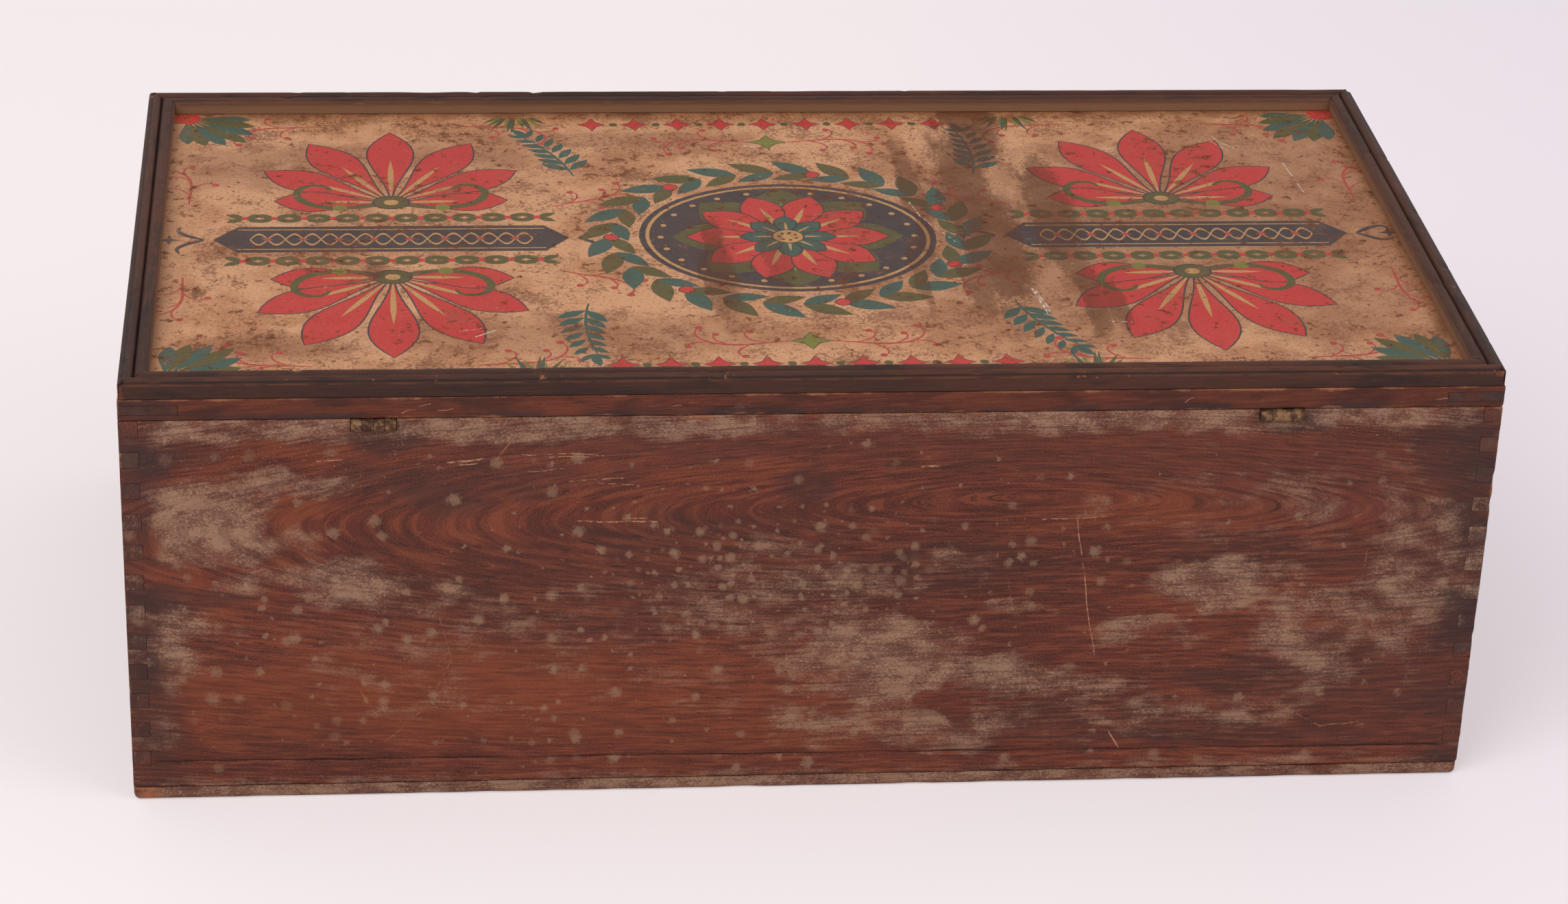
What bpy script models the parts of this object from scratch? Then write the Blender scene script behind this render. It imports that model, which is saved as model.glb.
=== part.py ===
"""Dye box: a finger-jointed wooden counter box whose framed lid carries a printed tin plate.

Metres, +Z up. The origin is on the table, under the middle of the box. The hinges are on the
+Y side and the front is on the -Y side. Left (+X) and right (-X) are as seen from the hinge
side. The closed lid is the rest position.
"""

import math

import bmesh
import bpy
from mathutils import Vector

# Gaps between pieces
REST_GAP = 0.0003
JOINT_GAP = 0.00015
CUT_OVERRUN = 0.002

# Carcass
BOX_WIDTH = 0.512
BOX_DEPTH = 0.273
BOARD_THICKNESS = 0.007
WALL_HEIGHT = 0.1556
FINGER_WIDTH = 0.00635
BOTTOM_THICKNESS = 0.0056
BOTTOM_CORNER_RADIUS = 0.0022
BOTTOM_EDGE_ROUND = 0.0024

# Egg-crate dividers inside
CROSS_DIVIDER_COUNT = 4
LONG_DIVIDER_COUNT = 2
DIVIDER_THICKNESS = 0.003
DIVIDER_HEADROOM = 0.048
GROOVE_DEPTH = 0.0018
LAP_SHARE = 0.5

# Lid frame and its panel
LID_GAP = 0.0003
FRAME_THICKNESS = 0.0083
RAIL_WIDTH = 0.022
STILE_WIDTH = 0.0215
TENON_THICKNESS = 0.0039
PANEL_THICKNESS = 0.0036
PANEL_LAP = 0.006

# Tin plate
PLATE_THICKNESS = 0.0005
PLATE_LAP = 0.0022

# Double-beaded moulding round the lid
MOULDING_WIDTH = 0.0108
MOULDING_SETBACK = 0.0003
EDGE_HEIGHT = 0.0054
OUTER_BEAD_RISE = 0.0016
INNER_BEAD_RISE = 0.0013
BEAD_INSET = 0.0002
QUIRK_WIDTH = 0.0006
QUIRK_DEPTH = 0.0006
OUTER_BEAD_SHARE = 0.5
CORNER_RADIUS = 0.0012
WORN_CORNER_RADIUS = 0.0062

# Butt hinges
HINGE_LENGTH = 0.0163
KNUCKLE_COUNT = 4
BARREL_RADIUS = 0.0023
LEAF_THICKNESS = 0.0009
LEAF_REACH = 0.0064
PIN_RADIUS = 0.001
PIN_GAP = 0.0001
AXIS_OUTSET = 0.0003
LEFT_HINGE_INSET = 0.092
RIGHT_HINGE_INSET = 0.084
SCREW_SPACING = 0.0086
SCREW_HEAD_RADIUS = 0.0014
SCREW_SHANK_RADIUS = 0.0007

# Steps in the round forms
CORNER_STEPS = 6
EDGE_STEPS = 3
BEAD_STEPS = 8
BARREL_STEPS = 24
SCREW_STEPS = 12
SMOOTH_ANGLE = math.radians(35)

# Finishes: colour, roughness and metallic value
STAINED_WOOD = ((0.105, 0.030, 0.020), 0.55, 0.0)
WORN_STAIN = ((0.125, 0.038, 0.022), 0.55, 0.0)
DARK_MOULDING = ((0.050, 0.030, 0.026), 0.50, 0.0)
BARE_WOOD = ((0.420, 0.270, 0.150), 0.75, 0.0)
PRINTED_TIN = ((0.580, 0.370, 0.220), 0.45, 0.6)
OLD_BRASS = ((0.330, 0.220, 0.110), 0.55, 0.8)
DARK_IRON = ((0.110, 0.085, 0.070), 0.60, 0.9)

# Levels, from the table up
wall_foot = BOTTOM_THICKNESS + REST_GAP
wall_top = wall_foot + WALL_HEIGHT
divider_foot = BOTTOM_THICKNESS + REST_GAP
divider_top = wall_top - DIVIDER_HEADROOM
lap_level = divider_foot + (divider_top - divider_foot) * LAP_SHARE
frame_foot = wall_top + LID_GAP
frame_top = frame_foot + FRAME_THICKNESS
panel_foot = frame_top - PANEL_THICKNESS
moulding_foot = frame_top + REST_GAP
plate_foot = frame_top + REST_GAP
plate_top = plate_foot + PLATE_THICKNESS

# Plan lines, from the middle outwards
half_width = BOX_WIDTH / 2
half_depth = BOX_DEPTH / 2
inner_half_width = half_width - BOARD_THICKNESS
inner_half_depth = half_depth - BOARD_THICKNESS
opening_half_width = half_width - STILE_WIDTH
opening_half_depth = half_depth - RAIL_WIDTH
moulding_half_width = half_width - MOULDING_SETBACK
moulding_half_depth = half_depth - MOULDING_SETBACK

# The lid's axis, through the middle of both hinge pins
axis_y = half_depth + AXIS_OUTSET
axis_z = frame_foot - REST_GAP - BARREL_RADIUS
notch_floor = axis_z - BARREL_RADIUS - REST_GAP
left_hinge_x = half_width - LEFT_HINGE_INSET
right_hinge_x = RIGHT_HINGE_INSET - half_width


def clear_scene():
    """Empty the scene that the part is built in."""
    for old in list(bpy.data.objects):
        bpy.data.objects.remove(old, do_unlink=True)


def finish(name, look):
    """A plain finish: a principled shader with one colour, roughness and metallic value."""
    colour, roughness, metallic = look
    made = bpy.data.materials.new(name)
    made.use_nodes = True
    shader = made.node_tree.nodes["Principled BSDF"]
    shader.inputs["Base Color"].default_value = (*colour, 1)
    shader.inputs["Roughness"].default_value = roughness
    shader.inputs["Metallic"].default_value = metallic
    return made


def pivot(name, place):
    """An empty that carries the pieces of one body."""
    made = bpy.data.objects.new(name, None)
    made.location = place
    bpy.context.scene.collection.objects.link(made)
    return made


def piece(name, shape, look, carrier):
    """Turn a finished shape into a named piece that its carrier moves."""
    bmesh.ops.recalc_face_normals(shape, faces=shape.faces)
    mesh = bpy.data.meshes.new(name)
    shape.to_mesh(mesh)
    shape.free()
    mesh.materials.append(finish(name + "_finish", look))
    mesh.shade_smooth()
    mesh.set_sharp_from_angle(angle=SMOOTH_ANGLE)
    made = bpy.data.objects.new(name, mesh)
    made.parent = carrier
    made.location = -carrier.location
    bpy.context.scene.collection.objects.link(made)
    return made


def cut(target, name, *shapes):
    """Take shapes away from a piece. They stay in the scene as one hidden cutter."""
    mesh = bpy.data.meshes.new(name)
    joined = bmesh.new()
    for shape in shapes:
        bmesh.ops.recalc_face_normals(shape, faces=shape.faces)
        shape.to_mesh(mesh)
        joined.from_mesh(mesh)
        shape.free()
    joined.to_mesh(mesh)
    joined.free()
    cutter = bpy.data.objects.new(name, mesh)
    cutter.hide_render = True
    cutter.display_type = "WIRE"
    bpy.context.scene.collection.objects.link(cutter)
    step = target.modifiers.new(name, "BOOLEAN")
    step.operation = "DIFFERENCE"
    step.solver = "EXACT"
    step.object = cutter


def skin(shape, rings):
    """Close a body over two matching rings of corners: a face at each end, and sides between."""
    shape.faces.new(rings[0])
    shape.faces.new(reversed(rings[1]))
    count = len(rings[0])
    for first, second in zip(range(-1, count - 1), range(count)):
        shape.faces.new((rings[0][first], rings[1][first], rings[1][second], rings[0][second]))
    return shape


def stretch(outline, start, end, place):
    """Carry an outline from start to end. place turns (across, up, along) into a point."""
    shape = bmesh.new()
    rings = [[shape.verts.new(place(across, up, along)) for across, up in outline] for along in (start, end)]
    return skin(shape, rings)


def along_x(across, up, along):
    """Place a point of an outline that is drawn in YZ."""
    return Vector((along, across, up))


def along_y(across, up, along):
    """Place a point of an outline that is drawn in XZ."""
    return Vector((across, along, up))


def along_z(across, up, along):
    """Place a point of an outline that is drawn in XY."""
    return Vector((across, up, along))


def block(low, high):
    """A rectangular block between two corners."""
    outline = [(low[0], low[1]), (high[0], low[1]), (high[0], high[1]), (low[0], high[1])]
    return stretch(outline, low[2], high[2], along_z)


def arc(centre, radii, first, last, steps):
    """Points on an arc, from the first angle to the last."""
    angles = [first + (last - first) * step / steps for step in range(steps + 1)]
    return [(centre[0] + radii[0] * math.cos(a), centre[1] + radii[1] * math.sin(a)) for a in angles]


def rod(radius, start, end, steps):
    """A round rod on the lid's axis."""
    ring = arc((axis_y, axis_z), (radius, radius), 0, math.tau * (steps - 1) / steps, steps - 1)
    return stretch(ring, start, end, along_x)


def finger_lines():
    """Heights where fingers meet, from the top down. The last finger takes what is left over."""
    pairs = int(WALL_HEIGHT / (FINGER_WIDTH * 2))
    return [wall_top - FINGER_WIDTH * line for line in range(pairs * 2)] + [wall_foot]


def comb_edge(tip, has_top_finger):
    """One fingered end of a board, from its foot to its top, as (reach, height) points."""
    lines = finger_lines()[::-1]
    spans = len(lines) - 1
    root = tip - BOARD_THICKNESS - JOINT_GAP
    points = []
    for span in range(spans):
        from_top = spans - 1 - span
        own = (from_top % 2 == 0) == has_top_finger
        slack = JOINT_GAP / 2 if own else -JOINT_GAP / 2
        low = lines[span] + (slack if span else 0)
        high = lines[span + 1] - (slack if from_top else 0)
        reach = tip if own else root
        points += [(reach, low), (reach, high)]
    return points


def comb_outline(half_length, has_top_finger):
    """A board's face, fingered at both ends."""
    edge = comb_edge(half_length, has_top_finger)
    return edge + [(-reach, height) for reach, height in reversed(edge)]


def divider_places(count, inner_half):
    """Middles of dividers that part an inside length into equal rows."""
    row = (inner_half * 2 - count * DIVIDER_THICKNESS) / (count + 1)
    first = -inner_half + row + DIVIDER_THICKNESS / 2
    return [first + (row + DIVIDER_THICKNESS) * turn for turn in range(count)]


cross_places = divider_places(CROSS_DIVIDER_COUNT, inner_half_width)
long_places = divider_places(LONG_DIVIDER_COUNT, inner_half_depth)
slot_half = DIVIDER_THICKNESS / 2 + JOINT_GAP


def groove_blocks(places, side, inner_half, swap):
    """Room for the ends of the dividers in a wall. swap is true where the wall runs along Y."""
    floor = side * (inner_half + GROOVE_DEPTH)
    mouth = side * (inner_half - CUT_OVERRUN)
    across = (min(floor, mouth), max(floor, mouth))
    made = []
    for place in places:
        along = (place - slot_half, place + slot_half)
        in_x, in_y = (across, along) if swap else (along, across)
        low = (in_x[0], in_y[0], wall_foot - CUT_OVERRUN)
        high = (in_x[1], in_y[1], wall_top + CUT_OVERRUN)
        made.append(block(low, high))
    return made


def build_face_board(name, side, carrier):
    """The front or back board, whose fingers lie between those of the end boards."""
    shape = stretch(comb_outline(half_width, False), side * inner_half_depth, side * half_depth, along_y)
    board = piece(name, shape, STAINED_WOOD, carrier)
    cut(board, name + "_grooves", *groove_blocks(cross_places, side, inner_half_depth, False))
    return board


def build_end_board(name, side, carrier):
    """An end board, which has the top finger at each corner."""
    shape = stretch(comb_outline(half_depth, True), side * inner_half_width, side * half_width, along_x)
    board = piece(name, shape, STAINED_WOOD, carrier)
    cut(board, name + "_grooves", *groove_blocks(long_places, side, inner_half_width, True))


def build_bottom_board(carrier):
    """The bottom board, nailed on from below, with its corners and lower edges worn round."""
    outline = []
    for turn, (side_x, side_y) in enumerate(((1, 1), (-1, 1), (-1, -1), (1, -1))):
        centre = (side_x * (half_width - BOTTOM_CORNER_RADIUS), side_y * (half_depth - BOTTOM_CORNER_RADIUS))
        radii = (BOTTOM_CORNER_RADIUS, BOTTOM_CORNER_RADIUS)
        first = math.pi / 2 * turn
        outline += arc(centre, radii, first, first + math.pi / 2, EDGE_STEPS)
    shape = stretch(outline, 0, BOTTOM_THICKNESS, along_z)
    lower = [edge for edge in shape.edges if all(corner.co.z == 0 for corner in edge.verts)]
    rim = min(BOTTOM_EDGE_ROUND, BOTTOM_CORNER_RADIUS)
    bmesh.ops.bevel(shape, geom=lower, offset=rim, segments=EDGE_STEPS, profile=0.5, affect="EDGES")
    piece("bottom_board", shape, STAINED_WOOD, carrier)


def slotted_outline(half_length, slots, slot_foot, slot_head):
    """A divider's face, with slots that open at its foot or its top."""
    foot = [(-half_length, divider_foot)]
    top = [(-half_length, divider_top)]
    for place in slots:
        near, far = place - slot_half, place + slot_half
        if slot_foot <= divider_foot:
            foot += [(near, divider_foot), (near, slot_head), (far, slot_head), (far, divider_foot)]
        else:
            top += [(near, divider_top), (near, slot_foot), (far, slot_foot), (far, divider_top)]
    foot.append((half_length, divider_foot))
    top.append((half_length, divider_top))
    return foot + top[::-1]


def build_dividers(carrier):
    """Thin slats halved into each other, with their ends in grooves in the walls."""
    end_reach = GROOVE_DEPTH - REST_GAP
    half_thickness = DIVIDER_THICKNESS / 2
    long_outline = slotted_outline(inner_half_width + end_reach, cross_places, lap_level, divider_top)
    for turn, place in enumerate(long_places, 1):
        shape = stretch(long_outline, place - half_thickness, place + half_thickness, along_y)
        piece(f"long_divider_{turn}", shape, BARE_WOOD, carrier)
    lap_head = lap_level + JOINT_GAP
    cross_outline = slotted_outline(inner_half_depth + end_reach, long_places, divider_foot, lap_head)
    for turn, place in enumerate(cross_places, 1):
        shape = stretch(cross_outline, place - half_thickness, place + half_thickness, along_x)
        piece(f"cross_divider_{turn}", shape, BARE_WOOD, carrier)


def build_rail(name, side, carrier):
    """A long frame rail, forked at both ends for the tenons of the stiles."""
    tenon_low = (frame_foot + frame_top - TENON_THICKNESS) / 2 - JOINT_GAP / 2
    tenon_high = tenon_low + TENON_THICKNESS + JOINT_GAP
    fork = half_width - STILE_WIDTH - JOINT_GAP
    edge = [(half_width, frame_foot), (half_width, tenon_low), (fork, tenon_low)]
    edge += [(fork, tenon_high), (half_width, tenon_high), (half_width, frame_top)]
    outline = edge + [(-reach, height) for reach, height in reversed(edge)]
    shape = stretch(outline, side * half_depth, side * (half_depth - RAIL_WIDTH), along_y)
    rail = piece(name, shape, WORN_STAIN, carrier)
    cut(rail, name + "_rebate", panel_space(REST_GAP))


def build_stile(name, side, carrier):
    """A short frame stile, with a tenon through the rail at each end."""
    tenon_low = (frame_foot + frame_top - TENON_THICKNESS + JOINT_GAP) / 2
    tenon_high = tenon_low + TENON_THICKNESS - JOINT_GAP
    shoulder = half_depth - RAIL_WIDTH - JOINT_GAP
    edge = [(shoulder, frame_foot), (shoulder, tenon_low), (half_depth, tenon_low)]
    edge += [(half_depth, tenon_high), (shoulder, tenon_high), (shoulder, frame_top)]
    outline = edge + [(-reach, height) for reach, height in reversed(edge)]
    shape = stretch(outline, side * half_width, side * (half_width - STILE_WIDTH), along_x)
    stile = piece(name, shape, WORN_STAIN, carrier)
    cut(stile, name + "_rebate", panel_space(REST_GAP))


def panel_space(slack):
    """The room that the panel takes in the frame, with slack at its edges and under it."""
    half_x = opening_half_width + PANEL_LAP + slack
    half_y = opening_half_depth + PANEL_LAP + slack
    return block((-half_x, -half_y, panel_foot - slack), (half_x, half_y, frame_top + CUT_OVERRUN))


def build_panel(carrier):
    """The thin board that backs the tin plate, let into a rebate in the frame."""
    half_x = opening_half_width + PANEL_LAP
    half_y = opening_half_depth + PANEL_LAP
    shape = block((-half_x, -half_y, panel_foot), (half_x, half_y, frame_top))
    piece("lid_panel", shape, BARE_WOOD, carrier)


def build_plate(carrier):
    """The printed tin plate, held down by the inner edge of the moulding."""
    inset = MOULDING_WIDTH - PLATE_LAP
    half_x = moulding_half_width - inset
    half_y = moulding_half_depth - inset
    shape = block((-half_x, -half_y, plate_foot), (half_x, half_y, plate_top))
    piece("label_plate", shape, PRINTED_TIN, carrier)


def moulding_profile():
    """Two beads with a quirk between them, as (inwards, up) from the outer foot."""
    room = MOULDING_WIDTH - QUIRK_WIDTH - BEAD_INSET * 2
    outer = room * OUTER_BEAD_SHARE
    inner = room - outer
    outer_middle = BEAD_INSET + outer / 2
    inner_middle = MOULDING_WIDTH - BEAD_INSET - inner / 2
    quirk_middle = BEAD_INSET + outer + QUIRK_WIDTH / 2
    rebate = MOULDING_WIDTH - PLATE_LAP - REST_GAP
    rebate_head = plate_top + REST_GAP - moulding_foot
    points = [(0, 0), (0, EDGE_HEIGHT)]
    points += arc((outer_middle, EDGE_HEIGHT), (outer / 2, OUTER_BEAD_RISE), math.pi, 0, BEAD_STEPS)
    points.append((quirk_middle, EDGE_HEIGHT - QUIRK_DEPTH))
    points += arc((inner_middle, EDGE_HEIGHT), (inner / 2, INNER_BEAD_RISE), math.pi, 0, BEAD_STEPS)
    points += [(MOULDING_WIDTH, EDGE_HEIGHT), (MOULDING_WIDTH, rebate_head)]
    points += [(rebate, rebate_head), (rebate, 0)]
    return points


def mitred(half_run, half_across, side, place):
    """A length of moulding whose ends are cut at 45 degrees."""
    shape = bmesh.new()
    rings = []
    for end in (-1, 1):
        ring = []
        for inwards, up in moulding_profile():
            run = end * (half_run - inwards - JOINT_GAP)
            across = side * (half_across - inwards)
            ring.append(shape.verts.new(place(across, moulding_foot + up, run)))
        rings.append(ring)
    return skin(shape, rings)


def corner_waste(side_x, side_y):
    """What wear and sandpaper took off one outer corner of the moulding."""
    radius = WORN_CORNER_RADIUS if (side_x, side_y) == (-1, -1) else CORNER_RADIUS
    centre = (moulding_half_width - radius, moulding_half_depth - radius)
    far_x = moulding_half_width + CUT_OVERRUN
    far_y = moulding_half_depth + CUT_OVERRUN
    outline = arc(centre, (radius, radius), 0, math.pi / 2, CORNER_STEPS)
    outline += [(centre[0], far_y), (far_x, far_y), (far_x, centre[1])]
    outline = [(side_x * across, side_y * up) for across, up in outline]
    head = moulding_foot + EDGE_HEIGHT + OUTER_BEAD_RISE + CUT_OVERRUN
    return stretch(outline, moulding_foot - CUT_OVERRUN, head, along_z)


def build_mouldings(carrier):
    """Four mitred lengths, planted on the frame over the edges of the tin plate."""
    for name, side in (("moulding_back", 1), ("moulding_front", -1)):
        shape = mitred(moulding_half_width, moulding_half_depth, side, along_x)
        length = piece(name, shape, DARK_MOULDING, carrier)
        cut(length, name + "_corners", corner_waste(-1, side), corner_waste(1, side))
    for name, side in (("moulding_left", 1), ("moulding_right", -1)):
        shape = mitred(moulding_half_depth, moulding_half_width, side, along_y)
        length = piece(name, shape, DARK_MOULDING, carrier)
        cut(length, name + "_corners", corner_waste(side, -1), corner_waste(side, 1))


def leaf_outline(turn):
    """A strip of sheet rolled round the pin, in YZ. turn is 1 for a strip over it, -1 under it."""
    inner_face = BARREL_RADIUS - LEAF_THICKNESS
    meeting = math.pi - math.asin(inner_face / BARREL_RADIUS)
    roll = arc((0, 0), (BARREL_RADIUS, BARREL_RADIUS), math.pi / 2, meeting - math.tau, BARREL_STEPS)
    reach = -(AXIS_OUTSET + LEAF_REACH)
    drawn = roll + [(reach, inner_face), (reach, BARREL_RADIUS)]
    return [(axis_y + across, axis_z + turn * up) for across, up in drawn]


def screw_hole(middle_x, turn):
    """A countersunk hole whose wide mouth is on the inner face of a leaf."""
    slope = (SCREW_HEAD_RADIUS - SCREW_SHANK_RADIUS) / LEAF_THICKNESS
    spare = SCREW_SHANK_RADIUS / 2 / slope
    mouth = BARREL_RADIUS - LEAF_THICKNESS - spare
    depth = LEAF_THICKNESS + spare * 2
    shape = bmesh.new()
    bmesh.ops.create_cone(
        shape,
        cap_ends=True,
        segments=SCREW_STEPS,
        radius1=SCREW_HEAD_RADIUS + slope * spare,
        radius2=SCREW_SHANK_RADIUS - slope * spare,
        depth=depth,
    )
    flat_start = BARREL_RADIUS + REST_GAP
    screw_y = axis_y - (flat_start + AXIS_OUTSET + LEAF_REACH) / 2
    for corner in shape.verts:
        corner.co.z = axis_z + turn * (mouth + depth / 2 + corner.co.z)
        corner.co.y += screw_y
        corner.co.x += middle_x
    return shape


def build_leaf(name, middle_x, turn, own, carrier):
    """One leaf of a hinge. own picks its knuckles, counted from the +X end."""
    left_end = middle_x + HINGE_LENGTH / 2
    right_end = middle_x - HINGE_LENGTH / 2
    knuckle_length = HINGE_LENGTH / KNUCKLE_COUNT
    shape = stretch(leaf_outline(turn), right_end, left_end, along_x)
    leaf = piece(name, shape, OLD_BRASS, carrier)
    bore = rod(PIN_RADIUS + PIN_GAP, right_end - CUT_OVERRUN, left_end + CUT_OVERRUN, BARREL_STEPS)
    cut(leaf, name + "_bore", bore)
    for knuckle in range(KNUCKLE_COUNT):
        if knuckle % 2 == own:
            continue
        high = left_end - knuckle_length * knuckle + JOINT_GAP / 2
        low = high - knuckle_length - JOINT_GAP
        if knuckle == 0:
            high += CUT_OVERRUN
        if knuckle == KNUCKLE_COUNT - 1:
            low -= CUT_OVERRUN
        gap = rod(BARREL_RADIUS + REST_GAP, low, high, BARREL_STEPS)
        cut(leaf, f"{name}_gap_{knuckle}", gap)
    holes = [screw_hole(middle_x + SCREW_SPACING / 2 * end, turn) for end in (-1, 1)]
    cut(leaf, name + "_screw_holes", *holes)


def build_hinge(side_name, middle_x, back_board, body, lid):
    """A butt hinge let into the back board's top edge: two leaves and the pin between them."""
    half_notch = HINGE_LENGTH / 2 + REST_GAP
    low = (middle_x - half_notch, inner_half_depth - CUT_OVERRUN, notch_floor)
    high = (middle_x + half_notch, half_depth + CUT_OVERRUN, wall_top + CUT_OVERRUN)
    cut(back_board, f"{side_name}_hinge_notch", block(low, high))
    build_leaf(f"{side_name}_hinge_body_leaf", middle_x, -1, 0, body)
    build_leaf(f"{side_name}_hinge_lid_leaf", middle_x, 1, 1, lid)
    pin = rod(PIN_RADIUS, middle_x - HINGE_LENGTH / 2, middle_x + HINGE_LENGTH / 2, BARREL_STEPS)
    piece(f"{side_name}_hinge_pin", pin, DARK_IRON, body)


def build_dye_box():
    """Every piece, each on the empty of its body."""
    clear_scene()
    body = pivot("carcass_body", Vector((0, 0, 0)))
    lid = pivot("lid_axis", Vector((0, axis_y, axis_z)))
    back_board = build_face_board("back_board", 1, body)
    build_face_board("front_board", -1, body)
    build_end_board("left_end_board", 1, body)
    build_end_board("right_end_board", -1, body)
    build_bottom_board(body)
    build_dividers(body)
    build_rail("lid_rail_back", 1, lid)
    build_rail("lid_rail_front", -1, lid)
    build_stile("lid_stile_left", 1, lid)
    build_stile("lid_stile_right", -1, lid)
    build_panel(lid)
    build_plate(lid)
    build_mouldings(lid)
    build_hinge("left", left_hinge_x, back_board, body, lid)
    build_hinge("right", right_hinge_x, back_board, body, lid)


build_dye_box()
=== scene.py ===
# %% [markdown]
# # An old dye box, dressed
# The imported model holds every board, slat and hinge of a shop-counter box at its real size. This
# lesson gives them the look of a box that is about a hundred years old: red-brown stain, rubbed
# edges, dust, water spots and a printed tin plate on the lid. Lengths are in metres. The origin is
# on the table under the middle of the box, and the hinges are on the +Y side, which faces us.

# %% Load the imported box
import math
import random

import bmesh
import bpy
from mathutils import Matrix, Vector, geometry, noise


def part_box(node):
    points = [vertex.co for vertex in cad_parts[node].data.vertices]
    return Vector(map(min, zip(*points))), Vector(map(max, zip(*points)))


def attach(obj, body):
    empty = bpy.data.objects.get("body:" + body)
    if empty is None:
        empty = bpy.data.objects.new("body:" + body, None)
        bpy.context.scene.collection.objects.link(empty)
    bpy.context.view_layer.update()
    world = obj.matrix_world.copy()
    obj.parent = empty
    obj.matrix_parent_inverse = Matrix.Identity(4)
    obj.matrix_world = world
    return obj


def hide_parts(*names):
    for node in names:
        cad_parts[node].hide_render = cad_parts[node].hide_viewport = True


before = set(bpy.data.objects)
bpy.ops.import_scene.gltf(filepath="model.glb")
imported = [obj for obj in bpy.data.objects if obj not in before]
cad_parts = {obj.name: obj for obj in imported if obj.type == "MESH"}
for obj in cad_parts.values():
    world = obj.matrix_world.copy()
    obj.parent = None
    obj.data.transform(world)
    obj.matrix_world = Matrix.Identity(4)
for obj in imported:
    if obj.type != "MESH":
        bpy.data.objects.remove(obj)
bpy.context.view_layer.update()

# %% [markdown]
# ## Sizes that the pieces share
# Nothing is measured twice. The walls, the lid's frame and the tin plate are read from the packed
# model, so the worn copies and the patterns below follow the construction if it changes.

# %% Read the main sizes from the frame
MM = 0.001
wall_low, wall_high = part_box("left_end_board")
half_width = wall_high.x
half_depth = wall_high.y
wall_foot = wall_low.z
wall_top = wall_high.z
board_thickness = wall_high.x - wall_low.x
lid_low, lid_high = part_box("lid_rail_back")
plate_low, plate_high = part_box("label_plate")
moulding_low, moulding_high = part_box("moulding_back")
moulding_width = moulding_high.y - moulding_low.y
divider_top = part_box("cross_divider_1")[1].z
print("walls", round(wall_foot / MM, 1), "to", round(wall_top / MM, 1), "mm above the table")

# %% [markdown]
# ## Camera, floor and light
# The box was photographed from behind and above with a long lens. The camera's place and its two
# directions come from fitting a pinhole camera to the corners of the box, whose size is known.
# The floor is a pale sheet with a painted shade that darkens and cools it towards the right, and the
# light is a large soft window high on the left with a bright room round it, so that a colour renders
# about as it is written.

# %% Put up the camera
CAMERA_PLACE = Vector((0.1632, 1.4625, 0.8413))
CAMERA_FORWARD = Vector((-0.09947, -0.88126, -0.46205)).normalized()
CAMERA_RIGHT = Vector((-0.99497, 0.09351, 0.03586)).normalized()
LENS_MM = 93.7
SENSOR_MM = 36.0

camera_data = bpy.data.cameras.new("camera")
camera_data.lens = LENS_MM
camera_data.sensor_width = SENSOR_MM
camera_data.clip_end = 50
camera = bpy.data.objects.new("camera", camera_data)
camera_up = CAMERA_RIGHT.cross(CAMERA_FORWARD)
camera_turn = Matrix((CAMERA_RIGHT, camera_up, -CAMERA_FORWARD)).transposed()
camera.matrix_world = Matrix.Translation(CAMERA_PLACE) @ camera_turn.to_4x4()
bpy.context.scene.collection.objects.link(camera)
bpy.context.scene.camera = camera
print("camera is", round(CAMERA_PLACE.length, 2), "m from the box")

# %% [markdown]
# ## Writing finishes as sums
# A finish is a web of nodes. Laid by hand it is long, so two small classes let a finish be
# written as a sum: a Tone is a number that varies over the surface, and a Finish is the material
# that it belongs to. Colours are mixed with Mix nodes and never with Math nodes, which turn a
# colour grey.


# %% Tones: numbers on a surface
class Tone:
    """A socket whose value varies over the surface. Plain sums on it lay Math nodes."""

    def __init__(self, finish, socket):
        self.finish = finish
        self.socket = socket

    def __add__(self, other):
        return self.finish.maths("ADD", self, other)

    def __radd__(self, other):
        return self.finish.maths("ADD", other, self)

    def __sub__(self, other):
        return self.finish.maths("SUBTRACT", self, other)

    def __rsub__(self, other):
        return self.finish.maths("SUBTRACT", other, self)

    def __mul__(self, other):
        return self.finish.maths("MULTIPLY", self, other)

    def __rmul__(self, other):
        return self.finish.maths("MULTIPLY", other, self)

    def __truediv__(self, other):
        return self.finish.maths("DIVIDE", self, other)

    def __rtruediv__(self, other):
        return self.finish.maths("DIVIDE", other, self)

    def __abs__(self):
        return self.finish.maths("ABSOLUTE", self)


# %% Finishes: materials whose nodes are laid by short calls
def paint(red, green, blue):
    """A colour as a paint chart gives it, 0 to 255, turned into the linear light that nodes use."""
    shares = [channel / 255 for channel in (red, green, blue)]
    return tuple(s / 12.92 if s <= 0.04045 else ((s + 0.055) / 1.055) ** 2.4 for s in shares)


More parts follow.
